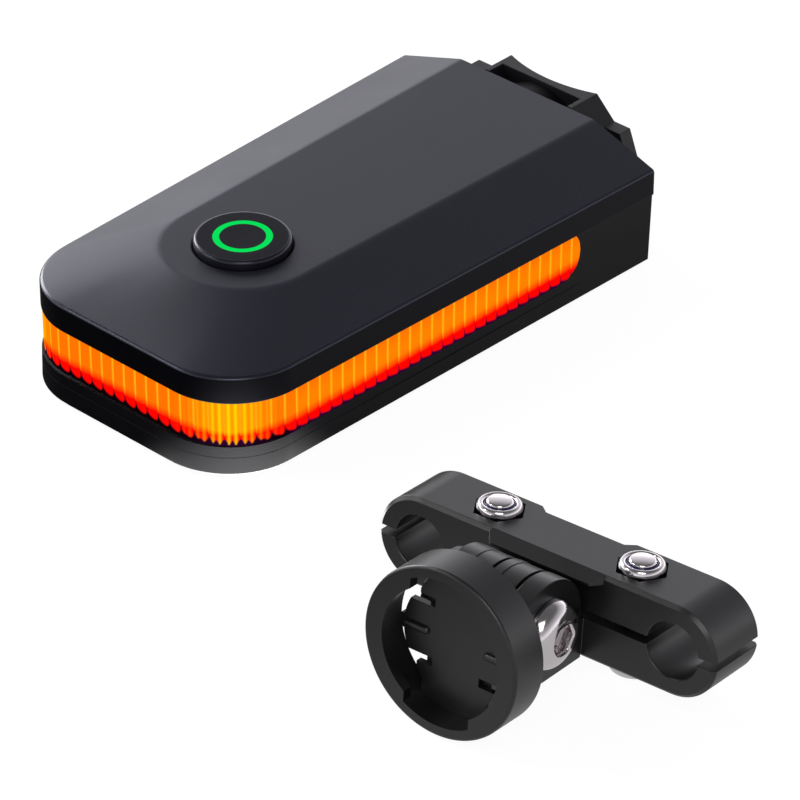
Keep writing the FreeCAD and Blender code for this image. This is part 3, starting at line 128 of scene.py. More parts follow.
def wander(tree, noise, low, high, socket):
    """Lets a socket run from low to high with a noise."""
    between = tree.nodes.new("ShaderNodeMapRange")
    between.inputs["To Min"].default_value = low
    between.inputs["To Max"].default_value = high
    tree.links.new(noise, between.inputs["Value"])
    tree.links.new(between.outputs["Result"], socket)


# %% Moulded plastic
GRAIN_SIZE = 0.35
GRAIN_DEPTH = 0.03
GRAIN_LIFT = 1.35
HANDLING_SCALE = 70
HANDLING_SPREAD = 0.06


def moulded(name, colour, roughness, grain=0.25, specular=0.5, sheen=(1, 1, 1, 1)):
    """Moulded plastic: noise in Object coordinates varies the colour, the roughness and the bump.

    grain is the strength of the bump and sheen the tint of the reflections.
    """
    material, tree, shader = new_material(name)
    link = tree.links.new
    shader.inputs["Base Color"].default_value = colour
    shader.inputs["Specular IOR Level"].default_value = specular
    shader.inputs["Specular Tint"].default_value = sheen
    fine = object_noise(tree, 1 / (GRAIN_SIZE * MM), 2)
    broad = object_noise(tree, HANDLING_SCALE, 4)
    wander(tree, broad, roughness - HANDLING_SPREAD, roughness + HANDLING_SPREAD,
           shader.inputs["Roughness"])
    tint = tree.nodes.new("ShaderNodeMix")
    tint.data_type = "RGBA"
    lift = [min(1.0, channel * GRAIN_LIFT) for channel in colour[:3]]
    tint.inputs["A"].default_value = colour
    tint.inputs["B"].default_value = (*lift, 1.0)
    link(fine, tint.inputs["Factor"])
    link(tint.outputs["Result"], shader.inputs["Base Color"])
    bump = tree.nodes.new("ShaderNodeBump")
    bump.inputs["Strength"].default_value = grain
    bump.inputs["Distance"].default_value = GRAIN_DEPTH * MM
    link(fine, bump.inputs["Height"])
    link(bump.outputs["Normal"], shader.inputs["Normal"])
    return material


# %% [markdown]
# The steel bolts and nuts are polished: nearly smooth, with a little fine noise on their roughness,
# so that the reflections aren't perfect.

# %% Polished steel
MARK_SCALE = 900


def polished(name, colour, roughness):
    """Polished metal whose roughness wanders a little with noise in Object coordinates."""
    material, tree, shader = new_material(name)
    shader.inputs["Base Color"].default_value = colour
    shader.inputs["Metallic"].default_value = 1.0
    marks = object_noise(tree, MARK_SCALE, 3)
    wander(tree, marks, roughness * 0.7, roughness * 1.5, shader.inputs["Roughness"])
    return material


# %% The finishes of this object
COOL = (0.79, 0.80, 1.0, 1)
COVER = moulded("cover_grain", screen(24, 25, 32), 0.42, grain=0.55, sheen=COOL)
EDGE = moulded("cover_edge", screen(24, 25, 32), 0.28, grain=0.1, sheen=COOL)
# The skirt is the same moulding as the cover. Its darker colour and weaker reflection are painted shade
# for its upright sides.
SKIRT_SHADE = moulded("skirt_painted_shade", screen(3, 3, 6), 0.32, grain=0.1, specular=0.12, sheen=COOL)
CASE = moulded("case_grain", screen(4, 2, 6), 0.42, grain=0.6, specular=0.16)
CAP = moulded("button_satin", screen(20, 20, 26), 0.4, grain=0.15, specular=0.06, sheen=COOL)
RIM = moulded("button_rim", screen(14, 14, 18), 0.26, grain=0.05, specular=0.5, sheen=COOL)
SEAL = moulded("seal_rubber", screen(8, 8, 9), 0.8, grain=0.1, specular=0.2)
BRACKET = moulded("bracket_satin", screen(20, 20, 24), 0.4, grain=0.3, specular=0.35)
CLAMP = moulded("clamp_satin", screen(13, 13, 15), 0.36, grain=0.2, specular=0.55)
RUBBER = moulded("post_rubber", screen(20, 20, 21), 0.75, grain=0.6, specular=0.3)
NYLON = moulded("nut_nylon", screen(12, 30, 92), 0.35, grain=0.1)
STEEL = polished("bolt_steel", screen(214, 208, 210), 0.13)
SCREW = polished("screw_steel", screen(120, 120, 124), 0.3)
BOARD = moulded("board_green", screen(18, 74, 40), 0.4, grain=0.1)
CHIP = moulded("chip_black", screen(24, 24, 24), 0.5, grain=0.1)
CELL = moulded("cell_film", screen(150, 152, 160), 0.35, grain=0.1)
LAMP = moulded("lamp_white", screen(230, 224, 190), 0.4, grain=0.05)
print(len(bpy.data.materials), "materials")

# %% [markdown]
# The lens glows, so its colours are light of its own. They depend on the place within a flute and
# on the height, and the mesh carries them as a colour attribute: numpy works them out together
# with the surface. The shader reads that attribute as its emission. It has no gloss, because the
# light from inside outshines every reflection.

# %% The glow of the lens and of the button's ring
def glowing(name, attribute=None, colour=(0, 1, 0, 1), roughness=0.25):
    """Plastic lit from behind: emission from a mesh attribute, or of one colour."""
    material, tree, shader = new_material(name)
    shader.inputs["Base Color"].default_value = (0.003, 0.001, 0.001, 1)
    shader.inputs["Roughness"].default_value = roughness
    shader.inputs["Specular IOR Level"].default_value = 0.0
    shader.inputs["Emission Color"].default_value = colour
    shader.inputs["Emission Strength"].default_value = 1.0
    if attribute:
        glow = tree.nodes.new("ShaderNodeAttribute")
        glow.attribute_name = attribute
        tree.links.new(glow.outputs["Color"], shader.inputs["Emission Color"])
    return material


LENS = glowing("lens_glow", attribute="glow")
HALO = glowing("halo_glow", colour=screen(0, 226, 92), roughness=0.4)

# %% [markdown]
# ## Surfaces from arrays
#
# Most pieces here are a grid of points: one parameter runs round a loop and the other from loop to
# loop. Numpy makes the whole grid at once, and one helper turns it into a mesh whose faces point
# outwards when each loop runs anticlockwise and the next one lies above it.

# %% A mesh from a grid of points
def grid_faces(rows, columns, closed_rows):
    """Quads between neighbouring loops, as an array of four point numbers each."""
    row = np.arange(rows if closed_rows else rows - 1)[:, None]
    column = np.arange(columns)[None, :]
    after = (column + 1) % columns
    above = (row + 1) % rows
    quads = [row * columns + column, row * columns + after,
             above * columns + after, above * columns + column]
    return np.stack([np.broadcast_to(part, (len(row), columns)) for part in quads], -1).reshape(-1, 4)


def stack_faces(rows, columns, closed_rows, start=0):
    """The quads of a stack of loops, numbered from start, and a cap at each end of an open one."""
    faces = (grid_faces(rows, columns, closed_rows) + start).tolist()
    if not closed_rows:
        faces.append(list(range(start, start + columns))[::-1])
        faces.append(list(range(start + (rows - 1) * columns, start + rows * columns)))
    return faces


def strip_faces(rows, columns):
    """The quads of a closed profile that follows an open line, and a cap at each end."""
    faces = grid_faces(rows, columns, True).reshape(rows, columns, 4)[:, :-1].reshape(-1, 4).tolist()
    start = np.arange(rows) * columns
    return faces + [start.tolist(), (start + columns - 1).tolist()[::-1]]


def mesh_from(name, points, faces, smooth_angle=30):
    """A mesh whose edges are smooth, but for those that bend by more than smooth_angle."""
    mesh = bpy.data.meshes.new(name)
    mesh.from_pydata(points.reshape(-1, 3).tolist(), [], faces)
    mesh.validate()
    mesh.shade_smooth()
    mesh.set_sharp_from_angle(angle=math.radians(smooth_angle))
    return mesh


def add_piece(mesh, material, stands_for, body):
    """A piece at the origin that takes the place of CAD nodes and rides with their body."""
    piece = bpy.data.objects.new(mesh.name, mesh)
    bpy.context.collection.objects.link(piece)
    mesh.materials.append(material)
    weigh = piece.modifiers.new("weigh_normals", "WEIGHTED_NORMAL")
    weigh.keep_sharp = True
    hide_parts(*stands_for)
    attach(piece, body)
    return piece


def loops_piece(name, loops, material, stands_for, body, closed_rows=False):
    """A piece from a stack of loops in mm, with flat caps where the stack isn't closed."""
    faces = stack_faces(*loops.shape[:2], closed_rows)
    return add_piece(mesh_from(name, loops * MM, faces), material, stands_for, body)


# %% [markdown]
# ## The outline of the light
#
# Seen from above, the light is a long tapering box with two rounded front corners. The top has a
# narrower flat strip that ends in a round about the button. Both outlines are sampled with the
# same number of points per side, so that straight lines join them into the sloping shoulders.

# %% Sizes of the light, in mm
LENGTH = 92.0
TAIL = LENGTH / 2
FRONT_WIDTH = 48.6
TAIL_WIDTH = 54.4
CORNER = 12.8
SKIRT_FOOT = 13.1
EDGE_HEIGHT = 17.6
CROWN_HEIGHT = 21.8
CROWN_RADIUS = 12.8
CROWN_TAIL = 28.8
NOSE_ANGLE = 60
BUTTON_Y = -19.1
TAPER = (TAIL_WIDTH - FRONT_WIDTH) / 2 / LENGTH
LEAN = math.hypot(1, TAPER)


def run(start, end, count):
    """count points from start towards end, without the end itself."""
    t = np.linspace(0, 1, count, endpoint=False)[:, None]
    return np.array(start) * (1 - t) + np.array(end) * t


def arc(centre, radius, start, end, count):
    """Points on a circle from one angle towards another, in radians, without the last."""
    angle = np.linspace(start, end, count, endpoint=False)
    return np.array(centre) + radius * np.stack([np.cos(angle), np.sin(angle)], -1)


# Points on the tail, the left side, the left corner, the front, the right corner and the right side
SIDES = (16, 60, 36, 24, 36, 60)


def plan_line(inset=0.0, draft=0.0, tail=TAIL):
    """The light's outline from above, inset by a distance: tail, left side, front, right side."""
    half = FRONT_WIDTH / 2 + TAPER * (tail + TAIL) - inset * LEAN - draft
    centre_y = -TAIL + CORNER
    radius = CORNER - inset
    centre_x = FRONT_WIDTH / 2 + TAPER * CORNER - CORNER * LEAN - draft
    side = math.atan(TAPER)
    left = (-centre_x - radius * math.cos(side), centre_y - radius * math.sin(side))
    right = (-left[0], left[1])
    return np.concatenate([
        run((half, tail), (-half, tail), SIDES[0]),
        run((-half, tail), left, SIDES[1]),
        arc((-centre_x, centre_y), radius, math.pi + side, math.pi * 1.5, SIDES[2]),
        run((-centre_x, centre_y - radius), (centre_x, centre_y - radius), SIDES[3]),
        arc((centre_x, centre_y), radius, math.pi * 1.5, math.pi * 2 - side, SIDES[4]),
        run(right, (half, tail), SIDES[5])])


def crown_line(shrink=0.0, tail=TAIL):
    """The flat top's outline: two lines from the tail that touch a circle round the button."""
    radius = CROWN_RADIUS - shrink
    far_x = CROWN_TAIL / 2 - shrink
    far_y = tail - BUTTON_Y
    touch = math.atan2(far_y, far_x) - math.acos(radius / math.hypot(far_x, far_y))
    right = (radius * math.cos(touch), BUTTON_Y + radius * math.sin(touch))
    nose = math.radians(NOSE_ANGLE)
    centre = (0.0, BUTTON_Y)
    return np.concatenate([
        run((far_x, tail), (-far_x, tail), SIDES[0]),
        run((-far_x, tail), (-right[0], right[1]), SIDES[1]),
        arc(centre, radius, math.pi - touch, math.pi + nose, SIDES[2]),
        arc(centre, radius, math.pi + nose, math.pi * 2 - nose, SIDES[3]),
        arc(centre, radius, math.pi * 2 - nose, math.pi * 2 + touch, SIDES[4]),
        run(right, (far_x, tail), SIDES[5])])


def at_height(line, height):
    """The points of a flat line, lifted to a height."""
    return np.column_stack([line, np.full(len(line), height)])


print("outline points:", len(plan_line()), "widest:", round(plan_line()[:, 0].max() * 2, 2))

# %% [markdown]
# ## The top cover
#
# One skin runs up the skirt, over a rounded edge, up the sloping shoulders to the flat crown, down
# the hole for the button and back along the inside. The edge is a quadratic curve between the
# skirt and the slope, so that it catches a thin line of light.

# %% Top cover
EDGE_ROUND = 0.42
SLOPE_WIDTH = 12.0
HOLE = 7.7
WALL = 2.6
ROOF = 1.8
OVERHANG = 0.25
CEILING = CROWN_HEIGHT - ROOF
SHADED_SKIRT_ROWS = (1, 4)
EDGE_ROWS = (5, 9)


def shoulder(share, height):
    """A loop that lies between the outline and the crown's outline, by the given share."""
    return at_height(plan_line() * (1 - share) + crown_line() * share, height)


def edge_loops(count=7):
    """The rounded edge: a quadratic curve whose middle point is the sharp edge itself."""
    slope = (CROWN_HEIGHT - EDGE_HEIGHT) / SLOPE_WIDTH
    reach = EDGE_ROUND / math.hypot(1, slope)
    t = np.linspace(0, 1, count)
    inward = t ** 2 * reach
    height = EDGE_HEIGHT - EDGE_ROUND * (1 - t) ** 2 + slope * reach * t ** 2
    return [shoulder(x / SLOPE_WIDTH, z) for x, z in zip(inward, height)]


def hole_line(radius):
    """The button's hole, with a point in the direction of each point of the crown's outline."""
    spokes = crown_line() - (0.0, BUTTON_Y)
    return spokes / np.linalg.norm(spokes, axis=1)[:, None] * radius + (0.0, BUTTON_Y)


def slope_loops():
    """Four loops up the slope, the last ones close to the crown to keep its crease soft."""
    rise = CROWN_HEIGHT - EDGE_HEIGHT
    return [shoulder(share, EDGE_HEIGHT + rise * share) for share in (0.3, 0.65, 0.93, 0.975)]


def paint_rows(piece, columns, finishes):
    """Adds a material for each (material, rows) and gives it the faces of those rows."""
    row = np.arange(len(piece.data.polygons)) // columns
    index = np.zeros(len(row), dtype=np.int32)
    for number, (material, (first, last)) in enumerate(finishes, 1):
        piece.data.materials.append(material)
        index[(row >= first) & (row <= last)] = number
    piece.data.polygons.foreach_set("material_index", index)


inner_wall = plan_line(WALL, tail=TAIL - WALL)
cover_loops = np.array(
    [at_height(inner_wall, SKIRT_FOOT), at_height(plan_line(OVERHANG), SKIRT_FOOT),
     at_height(plan_line(0.05), SKIRT_FOOT + 0.06), at_height(plan_line(), SKIRT_FOOT + 0.25)]
    + edge_loops() + slope_loops()
    + [at_height(crown_line(0.12), CROWN_HEIGHT - 0.02), at_height(crown_line(0.5), CROWN_HEIGHT),
       at_height(hole_line(HOLE + 0.3), CROWN_HEIGHT), at_height(hole_line(HOLE), CROWN_HEIGHT - 0.3),
       at_height(hole_line(HOLE), CEILING), at_height(crown_line(WALL, TAIL - WALL), CEILING),
       at_height(inner_wall, EDGE_HEIGHT - ROOF)])
cover = loops_piece("cover_skin", cover_loops, COVER, ["top_cover"], "light", closed_rows=True)
# The skirt's rows get the darker plastic of painted shade, and the edge's rows the smoother edge finish.
paint_rows(cover, cover_loops.shape[1], [(SKIRT_SHADE, SHADED_SKIRT_ROWS), (EDGE, EDGE_ROWS)])
print("cover:", len(cover.data.polygons), "faces, top at", cover_loops[..., 2].max(), "mm")

# %% [markdown]
# ## The lens
#
# The lens is a band round three sides, made of upright flutes 2.4 mm wide. Its surface is a
# function of the distance along the outline and of the height. Each flute bulges by a small arc:
# the bulge is a parabola of the place within the flute. At both tail ends the band's height
# shrinks along a half circle.

# %% The line that the lens follows
FLUTE = 2.4
LINE_AT = 0.9
PER_FLUTE = 16
LENS_FOOT = 5.5
LENS_END = 29.3
LENS_ROUND = 4.6
END_SPARE = 0.3
FOOT_DRAFT = 0.12


def open_line(inset, draft, shares):
    """Points from the left tail end round the front to the right one, at shares of the way."""
    dense = plan_line(inset, draft, tail=LENS_END)
    dense = np.concatenate([dense[SIDES[0]:], dense[:1]])
    step = np.linalg.norm(np.diff(dense, axis=0), axis=1)
    along = np.concatenate([[0.0], np.cumsum(step)])
    wanted = np.asarray(shares) * along[-1]
    return np.stack([np.interp(wanted, along, dense[:, axis]) for axis in (0, 1)], -1), along[-1]


def flute_columns(length):
    """Distances from the front's middle, at PER_FLUTE steps a flute, and the two ends.

    The steps stop END_SPARE of a step before each end, so that no face there is too narrow.
    """
    step = FLUTE / PER_FLUTE
    low = math.ceil((-length / 2 - LINE_AT) / step + END_SPARE)
    high = math.floor((length / 2 - LINE_AT) / step - END_SPARE)
    return np.concatenate([[-length / 2], LINE_AT + step * np.arange(low, high + 1), [length / 2]])


def draft_at(height):
    """How far the lens's sides have drawn in at a height."""
    return FOOT_DRAFT * (1 - height / SKIRT_FOOT)


def lens_limits(y):
    """Lowest and highest point of the band at a distance along the light: round tail ends."""
    over = np.clip(y - (LENS_END - LENS_ROUND), 0, LENS_ROUND)
    half = np.sqrt(LENS_ROUND ** 2 - over ** 2)
    middle = LENS_FOOT + LENS_ROUND
    low = np.where(over > 0, middle - half, LENS_FOOT)
    return low, np.minimum(np.where(over > 0, middle + half, SKIRT_FOOT), SKIRT_FOOT)


# %% [markdown]
# The light in the lens has four parts. Orange panels lie between thin bright lines, where two
# flutes meet. Low down the light turns red and ends in a tongue for each flute, with dark wedges
# between them. At the two front corners a lamp stands close behind, so the flutes there show two
# yellow stripes each, which drip through the red. Along the sides the tongues are shorter and end
# in dark purple.

# %% The colours of the light
ORANGE, AMBER, BRIGHT, YELLOW, RED, DRIP, PURPLE, BLACK = (
    np.array(screen(*colour)[:3]) for colour in (
        (255, 116, 0), (255, 172, 0), (255, 186, 24), (255, 218, 0), (255, 3, 0), (255, 96, 0),
        (44, 0, 46), (3, 1, 5)))
HOT_SPOTS = ((21.0, 4.5), (-21.5, 3.6))
STRIPE_AT = 0.217
STRIPE_HALF = 0.115
LINE_HALF = 0.075
SIDE_START = 29.0
SIDE_FADE = 4.0
RED_TOP = 0.37
RED_BLUR = 0.2
SIDE_TONGUE = 0.03
HOT_TONGUE = 0.14
TONGUE_BLUR = 0.035
TONGUE = np.array([(0, 0.245), (0.1, 0.17), (0.3, 0.12), (0.6, 0.085), (0.85, 0.07), (0.93, 0.10),
                   (1, 0.245)])


def bell(value, width):
    """exp(-(value / width)^2), a smooth bump about nothing."""
    return np.exp(-(value / width) ** 2)


def below(height, edge, width):
    """1 under an edge and 0 above it, by a straight ramp of the given width."""
    return np.clip((edge - height) / width + 0.5, 0, 1)[..., None]


def mixed(first, second, share):
    """first where share is 0 and second where it is 1."""
    return first * (1 - share) + second * share


def lens_glow(place, height, travel):
    """Colour of the light at a place across a flute, a height share and a distance from the middle.

    The line is a bell about the flute's edge, the stripes are two bells beside its middle, times
    the heat of the nearest hot spot, and the tongue's edge is read off a table of shares. The red
    begins at RED_TOP, a little lower along the sides and at the hot spots. The tongues end at the
    table's height on the front, at SIDE_TONGUE along the sides and at HOT_TONGUE less the stripes'
    drips at the hot spots.
    """
    to_edge = np.minimum(place, 1 - place)
    line = bell(to_edge, LINE_HALF)
    heat = sum(bell(travel - at, width) for at, width in HOT_SPOTS)
    stripe = bell(np.abs(place - 0.5) - STRIPE_AT, STRIPE_HALF)
    side = np.clip((np.abs(travel) - SIDE_START) / SIDE_FADE, 0, 1)
    warmth = 0.55 * np.maximum(heat, 0.4 * side * bell(height - 0.62, 0.25))
    colour = mixed(ORANGE, AMBER, warmth[..., None])
    colour = mixed(colour, YELLOW, (heat * stripe)[..., None])
    colour = mixed(colour, BRIGHT, (line * (1 - 0.4 * heat))[..., None])
    fringe = RED_TOP - 0.03 * side - 0.09 * heat + 0.04 * (place - 0.5)
    to_red = below(height, fringe, RED_BLUR - 0.1 * heat) * (1 - 0.75 * heat * stripe)[..., None]
    colour = mixed(colour, mixed(RED, DRIP, (heat * stripe)[..., None]), to_red)
    front_edge = np.interp(place, TONGUE[:, 0], TONGUE[:, 1])
    side_edge = SIDE_TONGUE + 0.1 * bell(to_edge, 0.05) + 0.05 * (1 - place)
    edge = mixed(mixed(front_edge, side_edge, side), HOT_TONGUE - 0.11 * stripe, heat)
    dark = mixed(BLACK, PURPLE, np.maximum(side, heat)[..., None])
    return mixed(colour, dark, below(height, edge, TONGUE_BLUR))


# %% The lens's surface
LENS_ROWS = 56
LENS_INSET = 0.3
LENS_BACK = 2.4
FLUTE_BULGE = 0.16


def lens_skin():
    """The band's grid of points, with the place, the height share and the distance of each."""
    length = open_line(LENS_INSET, 0.0, [0, 1])[1]
    travel = flute_columns(length)
    shares = travel / length + 0.5
    rim, foot, back = (open_line(inset, draft, shares)[0] for inset, draft in
                       ((LENS_INSET, 0.0), (LENS_INSET, draft_at(LENS_FOOT)), (LENS_BACK, 0.0)))
    place = np.mod((travel - LINE_AT) / FLUTE + 1e-6, 1)
    low, high = lens_limits(rim[:, 1])
    height = low + np.linspace(0, 1, LENS_ROWS)[:, None] * (high - low)
    share = (height - LENS_FOOT) / (SKIRT_FOOT - LENS_FOOT)
    tangent = np.gradient(rim, axis=0)
    outward = np.stack([tangent[:, 1], -tangent[:, 0]], -1)
    outward /= np.linalg.norm(outward, axis=1)[:, None]
    flat = foot * (1 - share[..., None]) + rim * share[..., None]
    flat = flat + outward * (FLUTE_BULGE * 4 * place * (1 - place))[:, None]
    outer = np.concatenate([flat, height[..., None]], -1)
    inner = np.stack([np.column_stack([back, level]) for level in (high, low)])
    return np.concatenate([outer, inner]), place, share, travel


def lens_piece():
    """The band, closed at its tail ends, with the light's colours as an attribute."""
    skin, place, share, travel = lens_skin()
    mesh = mesh_from("lens_band", skin * MM, strip_faces(*skin.shape[:2]), 50)
    glow = lens_glow(*(np.broadcast_to(part, share.shape) for part in (place, share, travel)))
    rgba = np.ones((*skin.shape[:2], 4))
    rgba[:LENS_ROWS, :, :3] = glow
    rgba[LENS_ROWS:, :, :3] = BLACK
    layer = mesh.color_attributes.new("glow", "FLOAT_COLOR", "POINT")
    layer.data.foreach_set("color", rgba.reshape(-1).astype(np.float32))
    return add_piece(mesh, LENS, ["lens"], "light")


lens = lens_piece()
lens.visible_diffuse = False
lens.visible_glossy = False
print("lens:", len(lens.data.vertices), "points")

# %% [markdown]
# In the photograph the case's sides stand almost upright. The CAD model leans them in more, so a
# copy's points are moved out by a function of their place. Below the lens a fine seam runs round
# the case, where its floor is welded on. It is a strip hardly thicker than paint, worked out on the
# leaning side and then moved by the same function.

# %% The case's upright sides
CASE_DRAFT = 0.88
CASE_OVERHANG = 0.1
FULL_HEIGHT = 13.55
TAIL_EASE = 0.45
PORT_START = 27.0


def upright(points):
    """The case's points, moved outwards so that its sides stand straighter than in the CAD model.

    The move grows from the skirt down to the foot, with the share of the way from the light's
    middle line to its side, and forwards with the share of the way to its front. On the left it
    fades towards the tail, so that the charging port's flap stays on its hinge.
    """
    x, y, z = points.T
    move = (CASE_OVERHANG + CASE_DRAFT * (1 - z / FULL_HEIGHT)) * (z < FULL_HEIGHT)
    right_side = 1 - TAIL_EASE * np.clip(y / TAIL, 0, 1)
    left_side = 1 - np.clip((y + TAIL - CORNER) / (PORT_START + TAIL - CORNER), 0, 1)
    move = move * np.where(x < 0, left_side, right_side)
    half = FRONT_WIDTH / 2 + TAPER * (y + TAIL)
    return np.stack([x + move * np.clip(x / half, -1, 1), y - move * np.clip(-y / TAIL, 0, 1), z], -1)


# %% The seam under the lens
SEAM_HEIGHT = 3.55
SEAM_WIDTH = 0.1
SEAM_POINTS = 320
SEAM_OUTSIDE = 0.235
SEAM_INSIDE = 0.6


def seam_piece():
    """A thin closed strip: outside at two heights, and back inside the wall."""
    shares = np.linspace(0, 1, SEAM_POINTS)
    lean = 1 - SEAM_HEIGHT / FULL_HEIGHT
    outside, inside = (open_line(inset, lean, shares)[0] for inset in (SEAM_OUTSIDE, SEAM_INSIDE))
    top = SEAM_HEIGHT + SEAM_WIDTH
    loops = np.stack([at_height(outside, SEAM_HEIGHT), at_height(outside, top),
                      at_height(inside, top), at_height(inside, SEAM_HEIGHT)])
    loops = upright(loops.reshape(-1, 3)).reshape(loops.shape)
    mesh = mesh_from("case_seam", loops * MM, strip_faces(*loops.shape[:2]))
    return add_piece(mesh, SEAL, [], "light")


seam = seam_piece()
print("seam:", len(seam.data.polygons), "faces")

# %% [markdown]
# ## Turned pieces
#
# The button, the bolt heads and the nuts are turned: a profile of radii and heights goes once
# round an axis. The point at angle a is (radius cos a, radius sin a, height), and profiles that
# start and end on the axis close themselves. A third number makes a point of the profile six
# sided, for the flats of a nut and the socket of a bolt: 0 is a circle and 1 a hexagon.

# %% A turned piece
TURN_POINTS = 96


def turned_loops(profile):
    """A profile of (radius, height, sixness) carried once round the upright axis.

    A hexagon's radius is its flat's distance over the cosine of the angle from the flat's middle.
    """
    profile = np.array([(*point, 0)[:3] for point in profile], dtype=float)
    radius, height, sixness = (profile[:, column, None] for column in range(3))
    angle = np.linspace(0, 2 * np.pi, TURN_POINTS, endpoint=False)
    flat = 1 / np.cos(np.mod(angle, np.pi / 3) - np.pi / 6)
    reach = radius * (1 - sixness + sixness * flat)
    return np.stack([reach * np.cos(angle), reach * np.sin(angle),
                     np.broadcast_to(height, reach.shape)], -1)


def rounded(start, corner, end, count=5):
    """Points of a quadratic curve that rounds a profile's corner."""
    t = np.linspace(0, 1, count)[:, None]
    points = ((1 - t) ** 2 * np.array(start) + 2 * t * (1 - t) * np.array(corner)
              + t ** 2 * np.array(end))
    return [tuple(point) for point in points.tolist()]


# %% [markdown]
# ## The button
#
# A low round cap with a rounded rim, a flange that the cover holds down, and a ring of green light
# let into its top. The cap's side and its rounded rim are smoother than its face.

# %% Button cap and its ring of light
CAP_RADIUS = 7.6
CAP_TOP = 23.2
FLANGE_RADIUS = 8.9
FLANGE_FOOT = 18.9
FLANGE_TOP = 19.65
HALO_OUT = 4.64
HALO_IN = 3.6
HALO_GROOVE = CAP_TOP - 0.15
HALO_TOP = CAP_TOP - 0.03
HALO_FOOT = CAP_TOP - 0.9
RIM_ROWS = (3, 7)


def at_button(loops):
    """Loops about the button's axis, brought to the light's axes."""
    return loops + (0.0, BUTTON_Y, 0.0)


cap_profile = ([(0.05, FLANGE_FOOT), (FLANGE_RADIUS, FLANGE_FOOT), (FLANGE_RADIUS, FLANGE_TOP),
                (CAP_RADIUS, FLANGE_TOP)]
               + rounded((CAP_RADIUS, CAP_TOP - 0.55), (CAP_RADIUS, CAP_TOP), (CAP_RADIUS - 0.6, CAP_TOP))
               + [(HALO_OUT, CAP_TOP), (HALO_OUT, HALO_GROOVE), (HALO_IN, HALO_GROOVE),
                  (HALO_IN, CAP_TOP), (0.05, HALO_TOP)])
cap = loops_piece("button_skin", at_button(turned_loops(cap_profile)), CAP,
                  ["button_cap"], "button")
paint_rows(cap, TURN_POINTS, [(RIM, RIM_ROWS)])
halo_profile = [(HALO_IN, HALO_FOOT), (HALO_OUT, HALO_FOOT), (HALO_OUT, HALO_TOP), (HALO_IN, HALO_TOP)]
halo = loops_piece("button_halo", at_button(turned_loops(halo_profile)), HALO,
                   ["button_light_ring"], "button", closed_rows=True)
halo.visible_diffuse = False
print("button top at", CAP_TOP, "mm")

# %% [markdown]
# ## Pieces that keep the CAD's shape
#
# A moulded bracket or a machined jaw already has the right shape in the CAD model, but its edges
# are razor sharp, and nothing real is. A copy of its mesh is merged, its flat faces are made
# whole, and a narrow bevel rounds the edges so that they catch the light.

# %% A CAD node with softened edges
MERGE_DISTANCE = 0.002
FLAT_ANGLE = math.radians(0.6)
EDGE_ANGLE = math.radians(32)


def softened(node_name, name, material, body, width, segments=2, moved=None):
    """A merged copy of a CAD node whose edges are rounded by a bevel, width in mm.

    moved is a function that takes the copy's points in mm and gives their new places.
    """
    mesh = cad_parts[node_name].data.copy()
    mesh.name = name
    mesh.materials.clear()
    work = bmesh.new()
    work.from_mesh(mesh)
    bmesh.ops.remove_doubles(work, verts=work.verts, dist=MERGE_DISTANCE * MM)
    bmesh.ops.dissolve_limit(work, angle_limit=FLAT_ANGLE, verts=work.verts, edges=work.edges)
    work.to_mesh(mesh)
    work.free()
    if moved:
        points = np.empty(len(mesh.vertices) * 3)
        mesh.vertices.foreach_get("co", points)
        mesh.vertices.foreach_set("co", (moved(points.reshape(-1, 3) / MM) * MM).reshape(-1))
        mesh.update()
    mesh.shade_smooth()
    mesh.set_sharp_from_angle(angle=EDGE_ANGLE)
    piece = add_piece(mesh, material, [node_name], body)
    bevel = piece.modifiers.new("soft_edges", "BEVEL")
    bevel.width = width * MM
    bevel.segments = segments
    bevel.limit_method = "ANGLE"
    bevel.angle_limit = EDGE_ANGLE
    bevel.harden_normals = True
    piece.modifiers.move(1, 0)
    return piece


softened("lower_case", "case_skin", CASE, "light", 0.15, moved=upright)
softened("quarter_turn_plug", "plug_skin", CASE, "light", 0.15)
softened("seatpost_bracket", "bracket_skin", BRACKET, "bracket", 0.55, segments=3)
softened("bracket_pad", "pad_skin", RUBBER, "bracket", 0.2)
softened("port_cover", "port_skin", RUBBER, "port", 0.12, moved=upright)
softened("upper_jaw", "upper_jaw_skin", CLAMP, "jaw", 0.14)
softened("lower_jaw", "lower_jaw_skin", CLAMP, "light", 0.14)
softened("socket_arm", "socket_skin", CLAMP, "arm", 0.16)
softened("detent_plate", "detent_skin", CLAMP, "arm", 0.08)

# %% [markdown]
# ## Bolts and nuts of the clamp
#
# They are turned pieces again, in the clamp's own axes: along the rails' spacing, front to back,
# and up. The clamp stands a little askew, so three turns and a shift bring each point from there
# to the light's axes. Each profile lists radius, height and sixness from one end to the other. A
# domed nut has a rolled collar with a nylon ring in it.

# %% The clamp's own axes
CLAMP_AT = np.array((84.01, -44.28, 10.420))
CLAMP_TURNS = ((2, 5.22), (0, -6.2735), (1, -1.2))
BOLT_SPOTS = ((-12.4, 5.7, 0.0), (12.4, 5.7, 0.0))
HINGE_SPOT = (-0.6, -8.8, 0.7)


def turn_about(axis, degrees):
    """The matrix of a right-handed turn about one of the three axes."""
    return np.array(Matrix.Rotation(math.radians(degrees), 3, "XYZ"[axis]))


CLAMP_AXES = np.linalg.multi_dot([turn_about(*turn) for turn in CLAMP_TURNS])


def at_clamp(loops, spot):
    """Loops about a spot in the clamp's axes, brought to the light's axes."""
    return (loops + spot) @ CLAMP_AXES.T + CLAMP_AT


def lying(loops):
    """Loops whose upright axis is laid along the clamp's first axis."""
    return loops[..., [2, 0, 1]]


print("clamp axes:", CLAMP_AXES.round(3).tolist())

